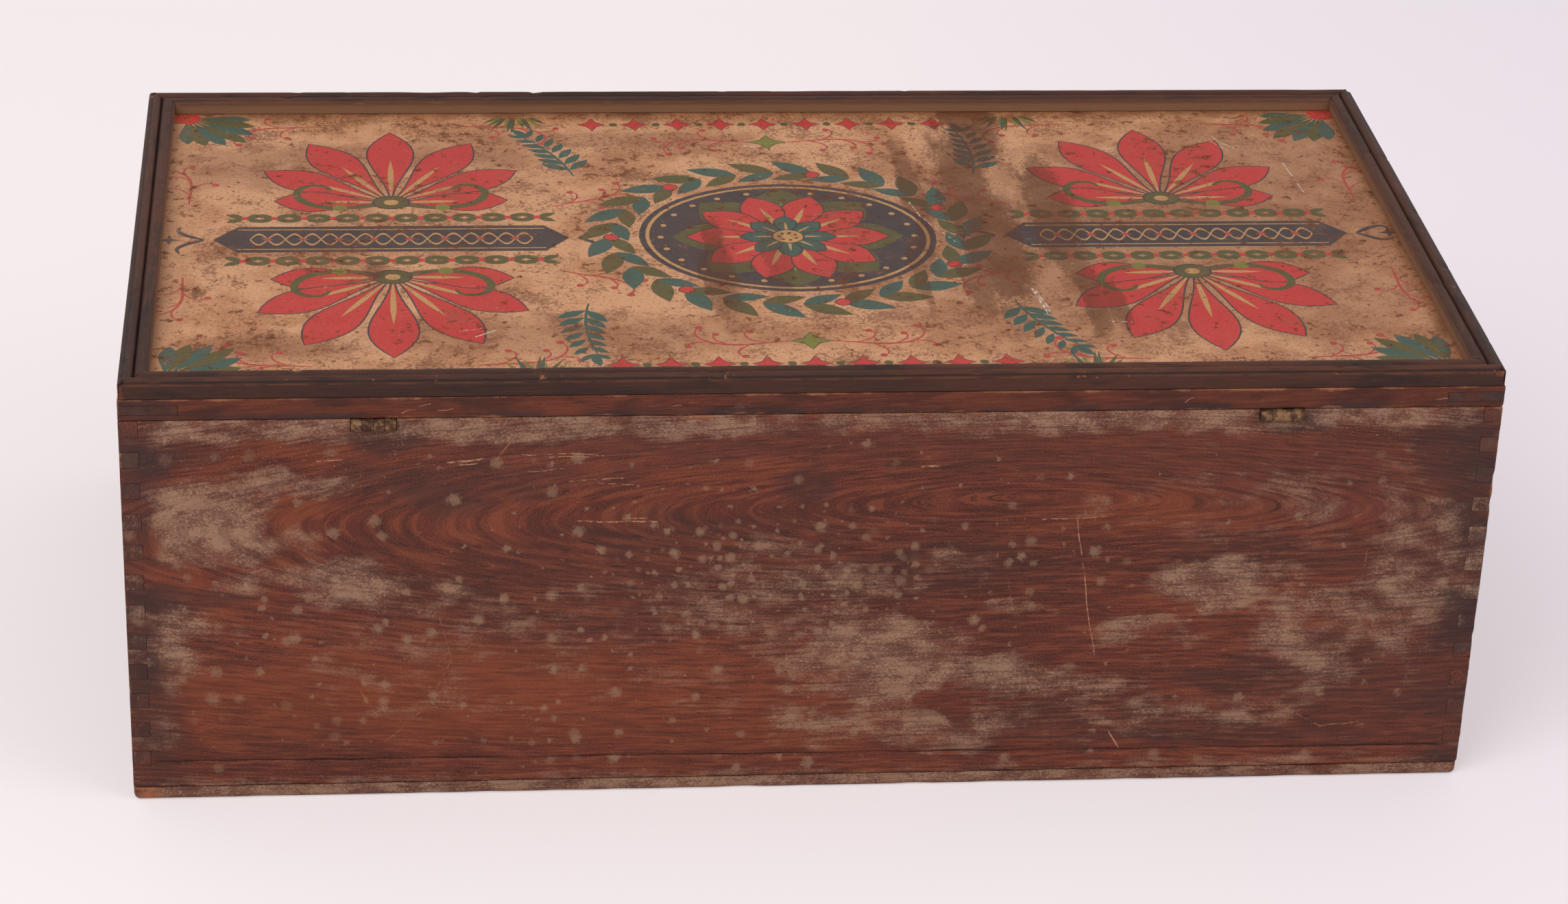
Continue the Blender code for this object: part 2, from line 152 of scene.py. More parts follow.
class Finish:
    """A material with a principled shader, whose patterns read the object's own coordinates."""

    def __init__(self, name, gloss=0.14):
        self.material = bpy.data.materials.new(name)
        self.material.use_nodes = True
        self.tree = self.material.node_tree
        self.shader = self.tree.nodes["Principled BSDF"]
        self.shader.inputs["Specular IOR Level"].default_value = gloss
        self.coordinates = self.tree.nodes.new("ShaderNodeTexCoord")
        self.place = Tone(self, self.coordinates.outputs["Object"])
        self.x, self.y, self.z = self.split(self.place)

    def plug(self, socket, value):
        """Give a socket a link, a colour or a number."""
        if isinstance(value, Tone):
            self.tree.links.new(value.socket, socket)
        elif hasattr(value, "__len__") and len(value) == 3 and socket.type == "RGBA":
            socket.default_value = (*value, 1)
        else:
            socket.default_value = value

    def node(self, kind, settings, inputs, output=0):
        """Lay any node: its settings first, then the values or links of its sockets."""
        made = self.tree.nodes.new(kind)
        for key, value in settings.items():
            setattr(made, key, value)
        for key, value in inputs.items():
            self.plug(made.inputs[key], value)
        return Tone(self, made.outputs[output])

    def maths(self, operation, *values):
        """A Math node on one, two or three values."""
        return self.node("ShaderNodeMath", {"operation": operation}, dict(enumerate(values)))

    def split(self, vector):
        """The three coordinates of a vector."""
        made = self.node("ShaderNodeSeparateXYZ", {}, {"Vector": vector}).socket.node
        return [Tone(self, socket) for socket in made.outputs]

    def point(self, x, y, z):
        """A vector from three values."""
        return self.node("ShaderNodeCombineXYZ", {}, {0: x, 1: y, 2: z})

    def noise(self, vector, detail=2.0, roughness=0.5):
        """Cloudy values from 0 to 1. The vector sets the size of the clouds."""
        inputs = {"Vector": vector, "Scale": 1.0, "Detail": detail, "Roughness": roughness}
        return self.node("ShaderNodeTexNoise", {}, inputs)

    def cloud(self, across, up, shift, detail=2.0, roughness=0.5):
        """Noise with one spacing over X and Y and another over Z. With up 0, shift stands for Z."""
        height = self.z * up + shift if up else shift
        return self.noise(self.point(self.x * across, self.y * across, height), detail, roughness)

    def step(self, value, low, high, peak=1.0):
        """0 at low, peak at high and smooth between. low may be above high."""
        settings = {"interpolation_type": "SMOOTHSTEP"}
        inputs = {"Value": value, "From Min": low, "From Max": high, "To Max": peak}
        return self.node("ShaderNodeMapRange", settings, inputs)

    def vector(self, operation, *values, output=0):
        """A Vector Math node on one, two or three vectors."""
        inputs = dict(enumerate(values))
        return self.node("ShaderNodeVectorMath", {"operation": operation}, inputs, output)

    def blend(self, factor, first, second):
        """A colour between two others."""
        inputs = {0: factor, 6: first, 7: second}
        return self.node("ShaderNodeMix", {"data_type": "RGBA"}, inputs, 2)

    def layered(self, colour, *layers):
        """Lay colours over a first one. Each layer is a tone, where it starts to show, where it is
        full, how strong it is there, and its colour."""
        for tone, start, full, strength, upper in layers:
            colour = self.blend(self.step(tone, start, full) * strength, colour, upper)
        return colour

    def most(self, first, second):
        """The larger of two values."""
        return self.maths("MAXIMUM", first, second)

    def attribute(self, name, output="Fac"):
        """A value that the mesh carries on its points."""
        return self.node("ShaderNodeAttribute", {"attribute_name": name}, {}, output)

    def surface(self, colour, roughness, height, depth, metallic=0.0):
        """Plug the patterns into the shader. height is a relief from 0 to 1, depth metres deep."""
        self.plug(self.shader.inputs["Base Color"], colour)
        self.plug(self.shader.inputs["Roughness"], roughness)
        self.plug(self.shader.inputs["Metallic"], metallic)
        inputs = {"Strength": 1.0, "Distance": depth, "Height": height}
        bump = self.node("ShaderNodeBump", {}, inputs)
        self.plug(self.shader.inputs["Normal"], bump)
        return self.material


# %% Lay the floor and hang the lights
FLOOR_REACH = 6.0
FLOOR_TONE = paint(242, 233, 234)
# the floor's painted shade: a darker, cooler tone towards the right of the box
FLOOR_SHADED_TONE = paint(231, 222, 230)
FLOOR_GLOW = 0.43
WORLD_TONE = (1.0, 0.99, 0.985)
WORLD_LEVEL = 0.78
LAMP_TARGET = Vector((0, 0, 0.05))


def make_floor():
    """A pale sheet of paper with a painted shade that darkens and cools it towards the right. It glows
    a little where it is seen.
    """
    floor_mesh = bpy.data.meshes.new("floor")
    corners = [(x * FLOOR_REACH, y * FLOOR_REACH, 0) for x, y in ((-1, -1), (1, -1), (1, 1), (-1, 1))]
    floor_mesh.from_pydata(corners, [], [(0, 1, 2, 3)])
    finish = Finish("pale_paper")
    # painted shade on the floor, growing towards the right of the box
    shaded_right = finish.step(finish.x, 0.05, -0.55)
    cloud = finish.noise(finish.place, 2.0)
    tone = finish.blend(shaded_right * 0.85 + cloud * 0.15, FLOOR_TONE, FLOOR_SHADED_TONE)
    finish.surface(tone, 0.9, cloud, 0.0001)
    glow = finish.node("ShaderNodeEmission", {}, {"Color": tone, "Strength": 1.0})
    seen = 0.0
    for ray in ("Is Camera Ray", "Is Glossy Ray", "Is Transmission Ray"):
        seen = finish.most(seen, finish.node("ShaderNodeLightPath", {}, {}, ray))
    lit = Tone(finish, finish.shader.outputs["BSDF"])
    mixed = finish.node("ShaderNodeMixShader", {}, {0: seen * FLOOR_GLOW, 1: lit, 2: glow})
    finish.plug(finish.tree.nodes["Material Output"].inputs["Surface"], mixed)
    floor_mesh.materials.append(finish.material)
    floor = bpy.data.objects.new("floor", floor_mesh)
    bpy.context.scene.collection.objects.link(floor)


def hang_window(name, place, size, watts):
    """A soft square lamp that looks at the box."""
    lamp_data = bpy.data.lights.new(name, "AREA")
    lamp_data.shape = "SQUARE"
    lamp_data.size = size
    lamp_data.energy = watts
    lamp = bpy.data.objects.new(name, lamp_data)
    lamp.location = place
    lamp.rotation_euler = (Vector(place) - LAMP_TARGET).to_track_quat("Z", "Y").to_euler()
    bpy.context.scene.collection.objects.link(lamp)


world = bpy.data.worlds.new("bright_room")
world.use_nodes = True
world_shader = world.node_tree.nodes["Background"]
world_shader.inputs["Color"].default_value = (*WORLD_TONE, 1)
world_shader.inputs["Strength"].default_value = WORLD_LEVEL
bpy.context.scene.world = world
bpy.context.scene.view_settings.view_transform = "Standard"
make_floor()
hang_window("left_window", (1.3, 1.5, 2.1), 1.6, 36)
hang_window("right_window", (-1.8, 1.2, 1.6), 1.4, 13)
print("room level", WORLD_LEVEL)

# %% [markdown]
# ## Wood
# A board shows the inside of a log. Its growth rings are tubes round the pith, so on a sawn face
# they run as long bands, and where the log tapers through the face they close into pointed
# arches. The finish keeps that rule: it measures the distance from a pith line that lies behind
# the face and leans a little. Finer noise, drawn out along the grain, makes the fibres and the
# short dark pores.


# %% Growth rings, fibres and pores
class Grain:
    """The figure of one board. axes says which of X, Y and Z (0, 1 and 2) run along the grain,
    across it and through the board."""

    def __init__(self, finish, axes, seed, pith=(0.06, 0.05), lean=0.07, apex=0.1):
        places = (finish.x, finish.y, finish.z)
        self.finish = finish
        self.seed = seed
        self.along, self.across, self.through = (places[axis] for axis in axes)
        drift = self.drawn(3.2, 9, 2.0) - 0.5
        ripple = self.drawn(26, 60, 1.0) - 0.5
        self.line = self.across + drift * 0.022 + ripple * 0.0016
        depth = (self.along - apex) * lean + self.through * 0.3 + pith[1]
        side = self.line - pith[0]
        self.ring = finish.maths("SQRT", side * side + depth * depth)
        self.course = self.ring * 0.8 + self.line * 0.2
        self.bands = finish.noise(finish.point(self.ring * 260, self.along * 2.5, seed), 2.0, 0.6)
        turn = finish.maths("FRACT", self.ring * 400 + self.bands * 1.6)
        late = finish.step(turn, 0.20, 0.90) * finish.step(turn, 1.0, 0.90)
        self.late = late * finish.step(self.drawn(7, 80, 2.0), 0.36, 0.60)
        self.fibres = self.fine(52, 1300, 4.0)
        self.pores = finish.step(self.fine(110, 2600, 1.0), 0.62, 0.74)
        self.smears = self.fine(36, 210, 3.0)
        self.blotches = self.drawn(5, 16, 3.0)

    def drawn(self, along, across, detail):
        """Noise with its own spacing along and across the grain."""
        lengthwise = self.along * along + self.seed
        vector = self.finish.point(lengthwise, self.across * across, self.through * across)
        return self.finish.noise(vector, detail)

    def fine(self, along, across, detail):
        """Noise that follows the rings, as fibres do."""
        inwards = self.through * across + self.seed
        vector = self.finish.point(self.along * along, self.course * across, inwards)
        return self.finish.noise(vector, detail, 0.6)


STAIN_DARK = paint(52, 30, 26)
STAIN_DEEP = paint(80, 38, 31)
STAIN_WARM = paint(108, 51, 37)
STAIN_LIGHT = paint(132, 70, 46)
STAIN_GLOW = paint(122, 60, 34)
STAIN_SMOKE = paint(50, 37, 36)
PORE_BLACK = paint(30, 20, 19)
RUBBED_WOOD = paint(150, 98, 68)
DUST_LIGHT = paint(140, 108, 88)
DUST_DARK = paint(106, 75, 62)
DUST_PALE = paint(176, 146, 122)
SPOT_TONE = paint(136, 108, 86)
END_GRAIN = paint(52, 42, 41)
BARE_LIGHT = paint(190, 152, 106)
BARE_DARK = paint(146, 108, 70)
BARE_OLD = paint(112, 82, 56)


def stain_colour(grain, redness=0.0):
    """Red-brown stain that sinks deeper into soft bands and pools in the pores."""
    finish = grain.finish
    base = finish.blend(finish.step(grain.blotches + redness, 0.30, 0.75), STAIN_DEEP, STAIN_WARM)
    base = finish.layered(
        base,
        (grain.bands, 0.45, 0.75, 0.16, STAIN_DARK),
        (grain.smears, 0.52, 0.66, 0.21, STAIN_DARK),
        (grain.smears, 0.48, 0.36, 0.16, STAIN_LIGHT),
    )
    base = finish.blend(grain.late * 0.15, base, STAIN_DARK)
    base = finish.layered(
        base,
        (grain.fibres, 0.51, 0.60, 0.36, STAIN_LIGHT),
        (grain.fibres, 0.48, 0.40, 0.48, STAIN_DARK),
    )
    base = finish.blend(grain.pores * 0.55, base, PORE_BLACK)
    grit = finish.cloud(1700, 1900, 0, 2.0, 0.8)
    return finish.layered(
        base,
        (grit, 0.53, 0.66, 0.26, RUBBED_WOOD),
        (grit, 0.47, 0.34, 0.36, PORE_BLACK),
    )


def bare_colour(grain):
    """Unfinished wood that has darkened with age."""
    finish = grain.finish
    base = finish.blend(finish.step(grain.bands, 0.35, 0.75), BARE_LIGHT, BARE_DARK)
    base = finish.layered(
        base,
        (grain.fibres, 0.45, 0.80, 0.5, BARE_LIGHT),
        (grain.blotches, 0.52, 0.80, 0.6, BARE_OLD),
    )
    return finish.blend(grain.pores * 0.5, base, BARE_OLD)


# %% [markdown]
# ## Age on the wood
# Dust has settled on the raw patches, where the stain has gone dull and the grain stands up. Each
# patch is a soft oval whose rim is broken by noise. A dust film is held against finer noise, so
# that it covers the wood grain by grain and thins out in flecks. Spots are drops that dried,
# thrown at random by a Voronoi pattern. Scratches are thin lines, broken where the tool skipped.


# %% Patches, dust, spots and scratches
SOFT_RIM = (1.9, 0.1)
CRISP_RIM = (1.3, 0.6)


def patch(finish, place, centre, reach, ragged, strength=1.0, rim=SOFT_RIM):
    """An oval on a flat vector: its strength inside and 0 outside, with a ragged rim."""
    sizes = (1 / reach[0], 1 / reach[1], 0)
    shift = (-centre[0] / reach[0], -centre[1] / reach[1], 0)
    away = finish.vector("MULTIPLY_ADD", place, sizes, shift)
    distance = finish.vector("DOT_PRODUCT", away, away, output="Value")
    return finish.step(distance + ragged, *rim, strength)


def patches(finish, place, marks, ragged, rim=SOFT_RIM):
    """The strongest of a list of patches, each with a centre, a reach and a strength."""
    cover = 0.0
    for centre, reach, strength in marks:
        cover = finish.most(cover, patch(finish, place, centre, reach, ragged, strength, rim))
    return cover


def dusted(finish, grain, colour, film, seed):
    """Lay dust over a colour. film says how much has settled, from 0 to 1."""
    cloud = finish.cloud(75, 120, seed, 6.0, 0.64)
    speck = finish.cloud(900, 1300, 0, 3.0, 0.8)
    drawn_out = (grain.smears - 0.5) * 0.8 + (grain.fibres - 0.5) * 0.6
    cover = finish.step(film + (cloud - 0.5) * 1.4 + drawn_out + (speck - 0.5) * 0.5, 0.26, 1.10)
    shown = cover * (0.88 - finish.step(grain.fibres, 0.50, 0.40) * 0.26 - grain.late * 0.10)
    tone = finish.blend(finish.step(speck * 0.8 + cloud, 0.80, 1.00), DUST_DARK, DUST_LIGHT)
    tone = finish.layered(tone, (speck, 0.56, 0.66, 0.42, DUST_PALE))
    return finish.blend(shown, colour, tone), cover


def scratch(finish, place, start, end, width):
    """A thin line between two points of a face."""
    middle = (Vector(start) + Vector(end)) / 2
    ahead = (Vector(end) - Vector(start)).normalized()
    away = finish.vector("SUBTRACT", place, (*middle, 0))
    along = finish.vector("DOT_PRODUCT", away, (*ahead, 0), output="Value")
    aside = finish.vector("DOT_PRODUCT", away, (-ahead.y, ahead.x, 0), output="Value")
    past_end = abs(along) - (Vector(end) - Vector(start)).length / 2
    return finish.step(finish.most(past_end, abs(aside)), width * 0.75, width * 0.15)


def scratches(finish, place, marks):
    """The strongest of a list of scratches, each with a start, an end and a width."""
    cover = 0.0
    for start, end, width in marks:
        cover = finish.most(cover, scratch(finish, place, start, end, width))
    return cover


def drops(finish, across, up, cell, largest, seed):
    """Round dried drops of many sizes, about one in two cells of a Voronoi pattern."""
    vector = finish.point(across / cell + seed, up / cell, seed)
    wobble = finish.noise(finish.point(across * 620, up * 620, seed), 3.0, 0.7) - 0.5
    settings = {"voronoi_dimensions": "2D"}
    inputs = {"Vector": vector, "Scale": 1.0}
    distance = finish.node("ShaderNodeTexVoronoi", settings, inputs, "Distance")
    cell_colour = Tone(finish, distance.socket.node.outputs["Color"])
    picked = finish.node("ShaderNodeSeparateColor", {}, {0: cell_colour})
    held = finish.step(Tone(finish, picked.socket.node.outputs[1]), 0.44, 0.48)
    size = picked * picked * (largest / cell)
    return finish.step(distance + wobble * 0.42, size, size * 0.30) * held


# %% Give a board its finish
def wood_finish(name, axes, seed, inside, dust, redness, feature, **figure):
    """Stained wood outside, bare wood where inside is 1, and end grain where the fibres stop.
    feature lays the board's own marks."""
    finish = Finish(name)
    grain = Grain(finish, axes, seed, **figure)
    colour = stain_colour(grain, redness)
    ragged = finish.cloud(60, 70, seed, 5.0, 0.62) - 0.5
    grit = finish.cloud(2600, 2600, 0, 1.0)
    film = finish.step(grain.blotches + ragged * 0.5, 0.40, 0.85) * dust
    relief = grain.fibres * 0.7 - grain.pores * 0.5 - grain.late * 0.2
    colour, film, relief = feature(finish, grain, colour, film, relief, ragged)
    normal = Tone(finish, finish.coordinates.outputs["Normal"])
    ends = finish.step(abs(finish.split(normal)[axes[0]]), 0.6, 0.85)
    end_colour = finish.layered(END_GRAIN, (ragged + grit * 0.3, 0.05, 0.35, 0.5, DUST_DARK))
    smudge = finish.cloud(90, 130, seed, 3.0, 0.65)
    stained_over = 0.46 + finish.step(finish.x, 0.1, -0.1) * 0.36
    shown_ends = ends * finish.step(smudge + ragged * 0.9, 0.34, 0.62) * stained_over
    colour = finish.blend(shown_ends, colour, end_colour)
    within = inside(finish, ragged)
    colour, cover = dusted(finish, grain, colour, film * (1 - within * 0.8), seed)
    colour = finish.blend(within, colour, bare_colour(grain))
    rubbed = finish.step(finish.attribute("wear") + ragged * 1.5 + grit * 0.2, 1.02, 1.30)
    colour = finish.blend(rubbed * 0.65, colour, RUBBED_WOOD)
    # grime darkens the back board's crack: dirt, and painted shade in the crack
    colour = finish.blend(finish.attribute("grime"), colour, PORE_BLACK)
    roughness = 0.55 + cover * 0.25 + within * 0.15 + rubbed * 0.1
    return finish.surface(colour, roughness, relief + cover * grit * 0.5, 0.00022)


# %% [markdown]
# ## Rubbed edges
# No edge of an old box is sharp. The construction has square edges, so each outer board gets a
# worn copy. The copy is cut into narrow strips along the outer edges, and its points are drawn
# onto a rounded box whose radius wanders by noise. The distance to the edge stays on the points
# as an attribute named wear, and the finish bares the wood there.


# %% Cut, rub and keep the copy
def merged_copy(node):
    """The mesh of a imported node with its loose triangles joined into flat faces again."""
    shape = bmesh.new()
    shape.from_mesh(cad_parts[node].data)
    bmesh.ops.remove_doubles(shape, verts=shape.verts, dist=0.00001)
    flat = math.radians(0.5)
    bmesh.ops.dissolve_limit(shape, angle_limit=flat, verts=shape.verts, edges=shape.edges)
    return shape


def stacked_cuts(shape, normal, places, faces):
    """Cut faces by planes that are stacked along a direction."""
    geom = set(faces)
    for face in faces:
        geom.update(face.edges)
        geom.update(face.verts)
    geom = list(geom)
    for place in places:
        plane = {"plane_co": normal * place, "plane_no": normal, "dist": 0.000005}
        geom = bmesh.ops.bisect_plane(shape, geom=geom, **plane)["geom"]


def steps_between(low, high, spacing):
    """Places from low to high, evenly spaced."""
    count = max(1, round((high - low) / spacing))
    return [low + (high - low) * turn / count for turn in range(1, count)]


UNIT = [Vector((1, 0, 0)), Vector((0, 1, 0)), Vector((0, 0, 1))]
STRIP_DEPTHS = (0.0003, 0.0008, 0.0016, 0.0045)


def cut_strips(shape, low, high, spacing):
    """Lay narrow strips along the outer edges of the box from low to high."""
    for axis in range(3):
        places = [low[axis] + depth for depth in STRIP_DEPTHS]
        places += [high[axis] - depth for depth in STRIP_DEPTHS]
        stacked_cuts(shape, UNIT[axis], places, shape.faces[:])
    for axis in range(3):
        others = [other for other in range(3) if other != axis]

        def near_edge(face):
            """Whether a face lies in the strips along one axis."""
            corners = [corner.co for corner in face.verts]
            gaps = [max(min(c[o] - low[o], high[o] - c[o]) for c in corners) for o in others]
            return max(gaps) < STRIP_DEPTHS[-1] * 1.01

        strips = [face for face in shape.faces if near_edge(face)]
        stacked_cuts(shape, UNIT[axis], steps_between(low[axis], high[axis], spacing), strips)


def rub(shape, low, high, radius, chips=()):
    """Draw the points near the outer edges onto a rounded box with a wandering radius."""
    wear = shape.verts.layers.float.new("wear")
    for corner in shape.verts:
        point = corner.co.copy()
        gaps = sorted(min(point[axis] - low[axis], high[axis] - point[axis]) for axis in range(3))
        corner[wear] = max(0.0, 1 - gaps[1] / STRIP_DEPTHS[-1])
        wander = 1 + 0.8 * noise.noise(point * 70) + 0.7 * noise.noise(point * 330)
        bite = sum(size * max(0.0, 1 - (point - place).length / (size * 2)) for place, size in chips)
        own = min(max(radius * wander, radius * 0.25) + bite, STRIP_DEPTHS[-1] * 0.9)
        inner = Vector([min(max(point[a], low[a] + own), high[a] - own) for a in range(3)])
        away = point - inner
        if away.length > own:
            corner.co = inner + away * (own / away.length)


def keep(name, shape, material, body, slot_name, *nodes):
    """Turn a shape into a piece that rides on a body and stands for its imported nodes."""
    mesh = bpy.data.meshes.new(name)
    shape.to_mesh(mesh)
    shape.free()
    mesh.materials.append(material)
    mesh.shade_smooth()
    mesh.set_sharp_from_angle(angle=math.radians(38))
    piece = bpy.data.objects.new(name, mesh)
    bpy.context.scene.collection.objects.link(piece)
    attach(piece, body)
    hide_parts(*nodes)
    print(name, len(mesh.polygons), "faces")


# %% [markdown]
# ## The four walls
# The walls share one rounded box, so that the fingers of two boards are rubbed alike at a corner.
# The stain covers the outside and laps over the top edge. Inside, the wood was left bare.

# %% Finishes that tell outside from inside
CARCASS_LOW = Vector((-half_width, -half_depth, wall_foot))
CARCASS_HIGH = Vector((half_width, half_depth, wall_top))


def inside_of_walls(finish, ragged):
    """1 on the inner faces of the walls, 0 on the outside and the top edge."""
    depth_x = half_width - abs(finish.x)
    depth_y = half_depth - abs(finish.y)
    depth = finish.maths("MINIMUM", depth_x, depth_y)
    return finish.step(depth + ragged * 0.001, board_thickness * 0.55, board_thickness * 0.8)


# %% [markdown]
# ## Marks on the back board
# The back board fills most of the view, so its own marks are listed one by one: dusty patches, dried
# drops, scratches and the stains under the hinges. Each row is a mark in millimetres across and up
# the face. A patch has its middle, its reach and its strength, and a scratch has its two ends and
# its width.


# %% The back board's own marks
def ovals_of(rows):
    """Patches from rows: middle across and up, reach across and up, strength."""
    return [((x * MM, y * MM), (wide * MM, high * MM), most) for x, y, wide, high, most in rows]


def lines_of(rows):
    """Scratches from rows: one end, the other end, width."""
    return [((x * MM, y * MM), (u * MM, v * MM), width * MM) for x, y, u, v, width in rows]


PALE_MARK = paint(192, 140, 106)
TAN_MARK = paint(146, 92, 62)
BACK_MARKS = {
    "dusty": ovals_of([
        (230, 124, 30, 15, 1.05), (208, 134, 42, 6, 0.8), (218, 110, 36, 10, 0.85),
        (186, 94, 44, 10, 0.76), (156, 85, 36, 7, 0.58), (244, 69, 19, 15, 0.95),
        (248, 40, 15, 25, 0.46), (-26, 59, 36, 15, 1.0), (-44, 48, 44, 13, 0.95),
        (-86, 45, 36, 9, 0.85), (-118, 66, 30, 9, 0.62), (-156, 88, 36, 9, 0.88),
        (-190, 64, 22, 24, 0.76), (-38, 29, 56, 11, 0.7), (-145, 31, 50, 11, 0.56),
        (-229, 90, 23, 44, 0.66), (-249, 98, 12, 28, 0.86), (-56, 99, 15, 7, 0.56),
        (-77, 77, 12, 4, 0.56), (16, 84, 56, 24, 0.56), (100, 62, 120, 30, 0.4),
        (-170, 120, 70, 20, 0.4),
    ]),
    "clean": ovals_of([
        (-59, 39, 7.5, 11, 1.0), (-88, 65, 20, 6, 1.0), (40, 130, 130, 13, 0.8), (195, 146, 50, 5, 0.8),
    ]),
    "smoky": ovals_of([
        (138, 127, 18, 9, 0.6), (125, 137, 60, 8, 0.4), (4, 134.3, 12, 9, 0.5),
        (-242, 140, 18, 17, 0.6), (-230, 108, 26, 40, 0.35), (240, 147, 16, 6, 0.5),
        (230, 86, 26, 5, 0.45), (164, 156, 15, 7, 0.6), (-172, 156, 14, 7, 0.8), (-50, 98, 45, 10, 0.3),
        (-165, 20, 70, 6, 0.45), (-185, 48, 50, 6, 0.4), (60, 150, 100, 8, 0.34),
        (-90, 148, 90, 10, 0.24), (50, 113, 60, 8, 0.3), (-185, 100, 50, 10, 0.3),
        (-215, 40, 45, 26, 0.34), (-200, 134, 50, 20, 0.3), (-115, 26, 60, 10, 0.26),
        (-150, 142, 80, 14, 0.26), (70, 90, 110, 26, 0.22),
    ]),
    "glowing": ovals_of([
        (-129, 147, 60, 12, 0.12), (190, 148, 42, 5, 0.25), (196, 126, 26, 4, 0.25),
        (150, 45, 100, 20, 0.34), (30, 30, 90, 16, 0.15), (-130, 118, 40, 10, 0.25),
    ]),
    "pricked": ovals_of([
        (190, 144, 50, 14, 0.9), (150, 153, 30, 8, 0.9), (226, 128, 30, 12, 0.5),
        (-190, 153, 40, 8, 0.7), (100, 138, 60, 10, 0.3), (160, 70, 50, 20, 0.2),
    ]),
    "spotted": [
        ((12 * MM, 90 * MM), (60 * MM, 30 * MM), 6.2 * MM, 2.8 * MM, 3.0),
        ((22 * MM, 92 * MM), (52 * MM, 24 * MM), 5.4 * MM, 3.2 * MM, 23.0),
        ((60 * MM, 80 * MM), (190 * MM, 62 * MM), 9.0 * MM, 3.2 * MM, 6.0),
        ((0, 78 * MM), (300 * MM, 95 * MM), 15.0 * MM, 3.6 * MM, 11.0),
    ],
    "pale": lines_of([
        (-84.7, 116.5, -109.4, 117.2, 0.4), (-97.8, 116.8, -108.5, 57.2, 0.4),
        (137.5, 143.8, 124, 145, 0.6), (133, 142.8, 127, 143.2, 0.4), (110.4, 146.9, 80.2, 145.5, 0.3),
        (101, 145.2, 85, 144.6, 0.3), (92.7, 135, 73, 136.2, 0.4), (82, 134, 69, 133.4, 0.3),
        (89.9, 118, 59.4, 117.2, 0.5), (72, 118.8, 63, 118.6, 0.4), (108, 139.5, 95, 140.2, 0.3),
        (-38.2, 139.3, -45.1, 139.2, 0.8), (176, 145.2, 185, 144.8, 0.4),
        (-116.3, 23.3, -120.9, 15.5, 0.5),
    ]),
    "tan": lines_of([
        (121.6, 141.7, 111.7, 155.1, 0.5), (-189.7, 29.5, -199.8, 23.5, 0.6),
        (-199.8, 23.5, -214.5, 25.3, 0.8), (140.6, 78.3, 136, 60, 0.4), (136, 60, 145, 40, 0.4),
        (145, 40, 161.5, 24.7, 0.4), (170, 46.6, 164, 36, 0.6), (-210, 101, -209, 86, 0.4),
        (-74, 90, -76, 78, 0.4),
    ]),
}


def end_smoke(finish, colour, ragged):
    """Dark handling grime over the finger joints at both ends of a face."""
    reach = abs(finish.x) + ragged * 0.012
    smoke = finish.step(reach, half_width - 0.026, half_width - 0.008)
    patchy = finish.cloud(20, 46, 0)
    return finish.blend(smoke * finish.step(patchy, 0.30, 0.62) * 0.75, colour, STAIN_SMOKE)


def wall_marks(axis, marks, seed):
    """A feature for one wall: all its marks. axis is the way the wall runs, 0 for X and 1 for Y."""
    half_length = (half_width, half_depth)[axis]

    def lay(finish, grain, colour, film, relief, ragged):
        """Lay the marks over the stain, from the oldest to the newest."""
        z = finish.z
        across = (finish.x, finish.y)[axis]
        sway = finish.noise(finish.point(across * 42, z * 42, 7.0 + seed)) - 0.5
        heave = finish.noise(finish.point(across * 42, z * 42, 9.0 + seed)) - 0.5
        place = finish.point(across + sway * 0.040, z + heave * 0.026, 0)
        for kind, tone in (("glowing", STAIN_GLOW), ("smoky", STAIN_SMOKE)):
            colour = finish.blend(patches(finish, place, marks[kind], ragged * 2.4), colour, tone)
        band = finish.step(z + ragged * 0.012, wall_top - 0.0135, wall_top - 0.005)
        film = finish.most(film, band * (0.42 + grain.drawn(14, 30, 2.0) * 0.72))
        film = finish.most(film, patches(finish, place, marks["dusty"], ragged * 1.8))
        film = film * (1 - patches(finish, place, marks["clean"], ragged * 1.2))
        foot = finish.step(z + ragged * 0.006, wall_foot + 0.009, wall_foot + 0.001)
        film = finish.most(film, foot * 0.50)
        ends = finish.step(abs(across) + ragged * 0.02, half_length - 0.022, half_length - 0.002)
        film = finish.most(film, ends * 0.40)
        near_end = finish.step(abs(across) + ragged * 0.012, half_length - 0.017, half_length - 0.007)
        film = film * (1 - near_end * 0.5)
        colour = end_smoke(finish, colour, ragged)
        spots = 0.0
        for centre, reach, cell, largest, own_seed in marks["spotted"]:
            area = patch(finish, place, centre, reach, ragged * 2)
            spots = finish.most(spots, drops(finish, across, z, cell, largest, own_seed) * area)
        colour = finish.blend(spots * (0.56 + ragged * 0.9), colour, SPOT_TONE)
        bend = finish.noise(finish.point(across * 45, z * 45, 5.0 + seed), 1.0) - 0.5
        skip = finish.noise(finish.point(across * 360, z * 360, 2.0 + seed), 4.0, 0.75)
        bent = finish.point(across + bend * 0.0028, z + (skip - 0.5) * 0.0012 + bend * 0.0028, 0)
        for kind, tone in (("pale", PALE_MARK), ("tan", TAN_MARK)):
            lines = scratches(finish, bent, marks[kind]) * finish.step(skip, 0.38, 0.62)
            colour = finish.blend(lines * 0.8, colour, tone)
            relief = relief - lines * 0.6
        crowded = patches(finish, place, marks["pricked"], ragged * 2)
        dots = finish.noise(finish.point(across * 1500, z * 1500, 17.0 + seed), 1.0)
        pricks = finish.step(dots, 0.66, 0.73) * (0.14 + crowded) * finish.step(skip, 0.44, 0.60)
        return finish.blend(pricks * 0.8, colour, PALE_MARK), film, relief

    return lay


# %% [markdown]
# The photo doesn't show the other three walls, so their marks are thrown by dice with a fixed
# seed. They are of the same kinds and sizes as the marks on the back.


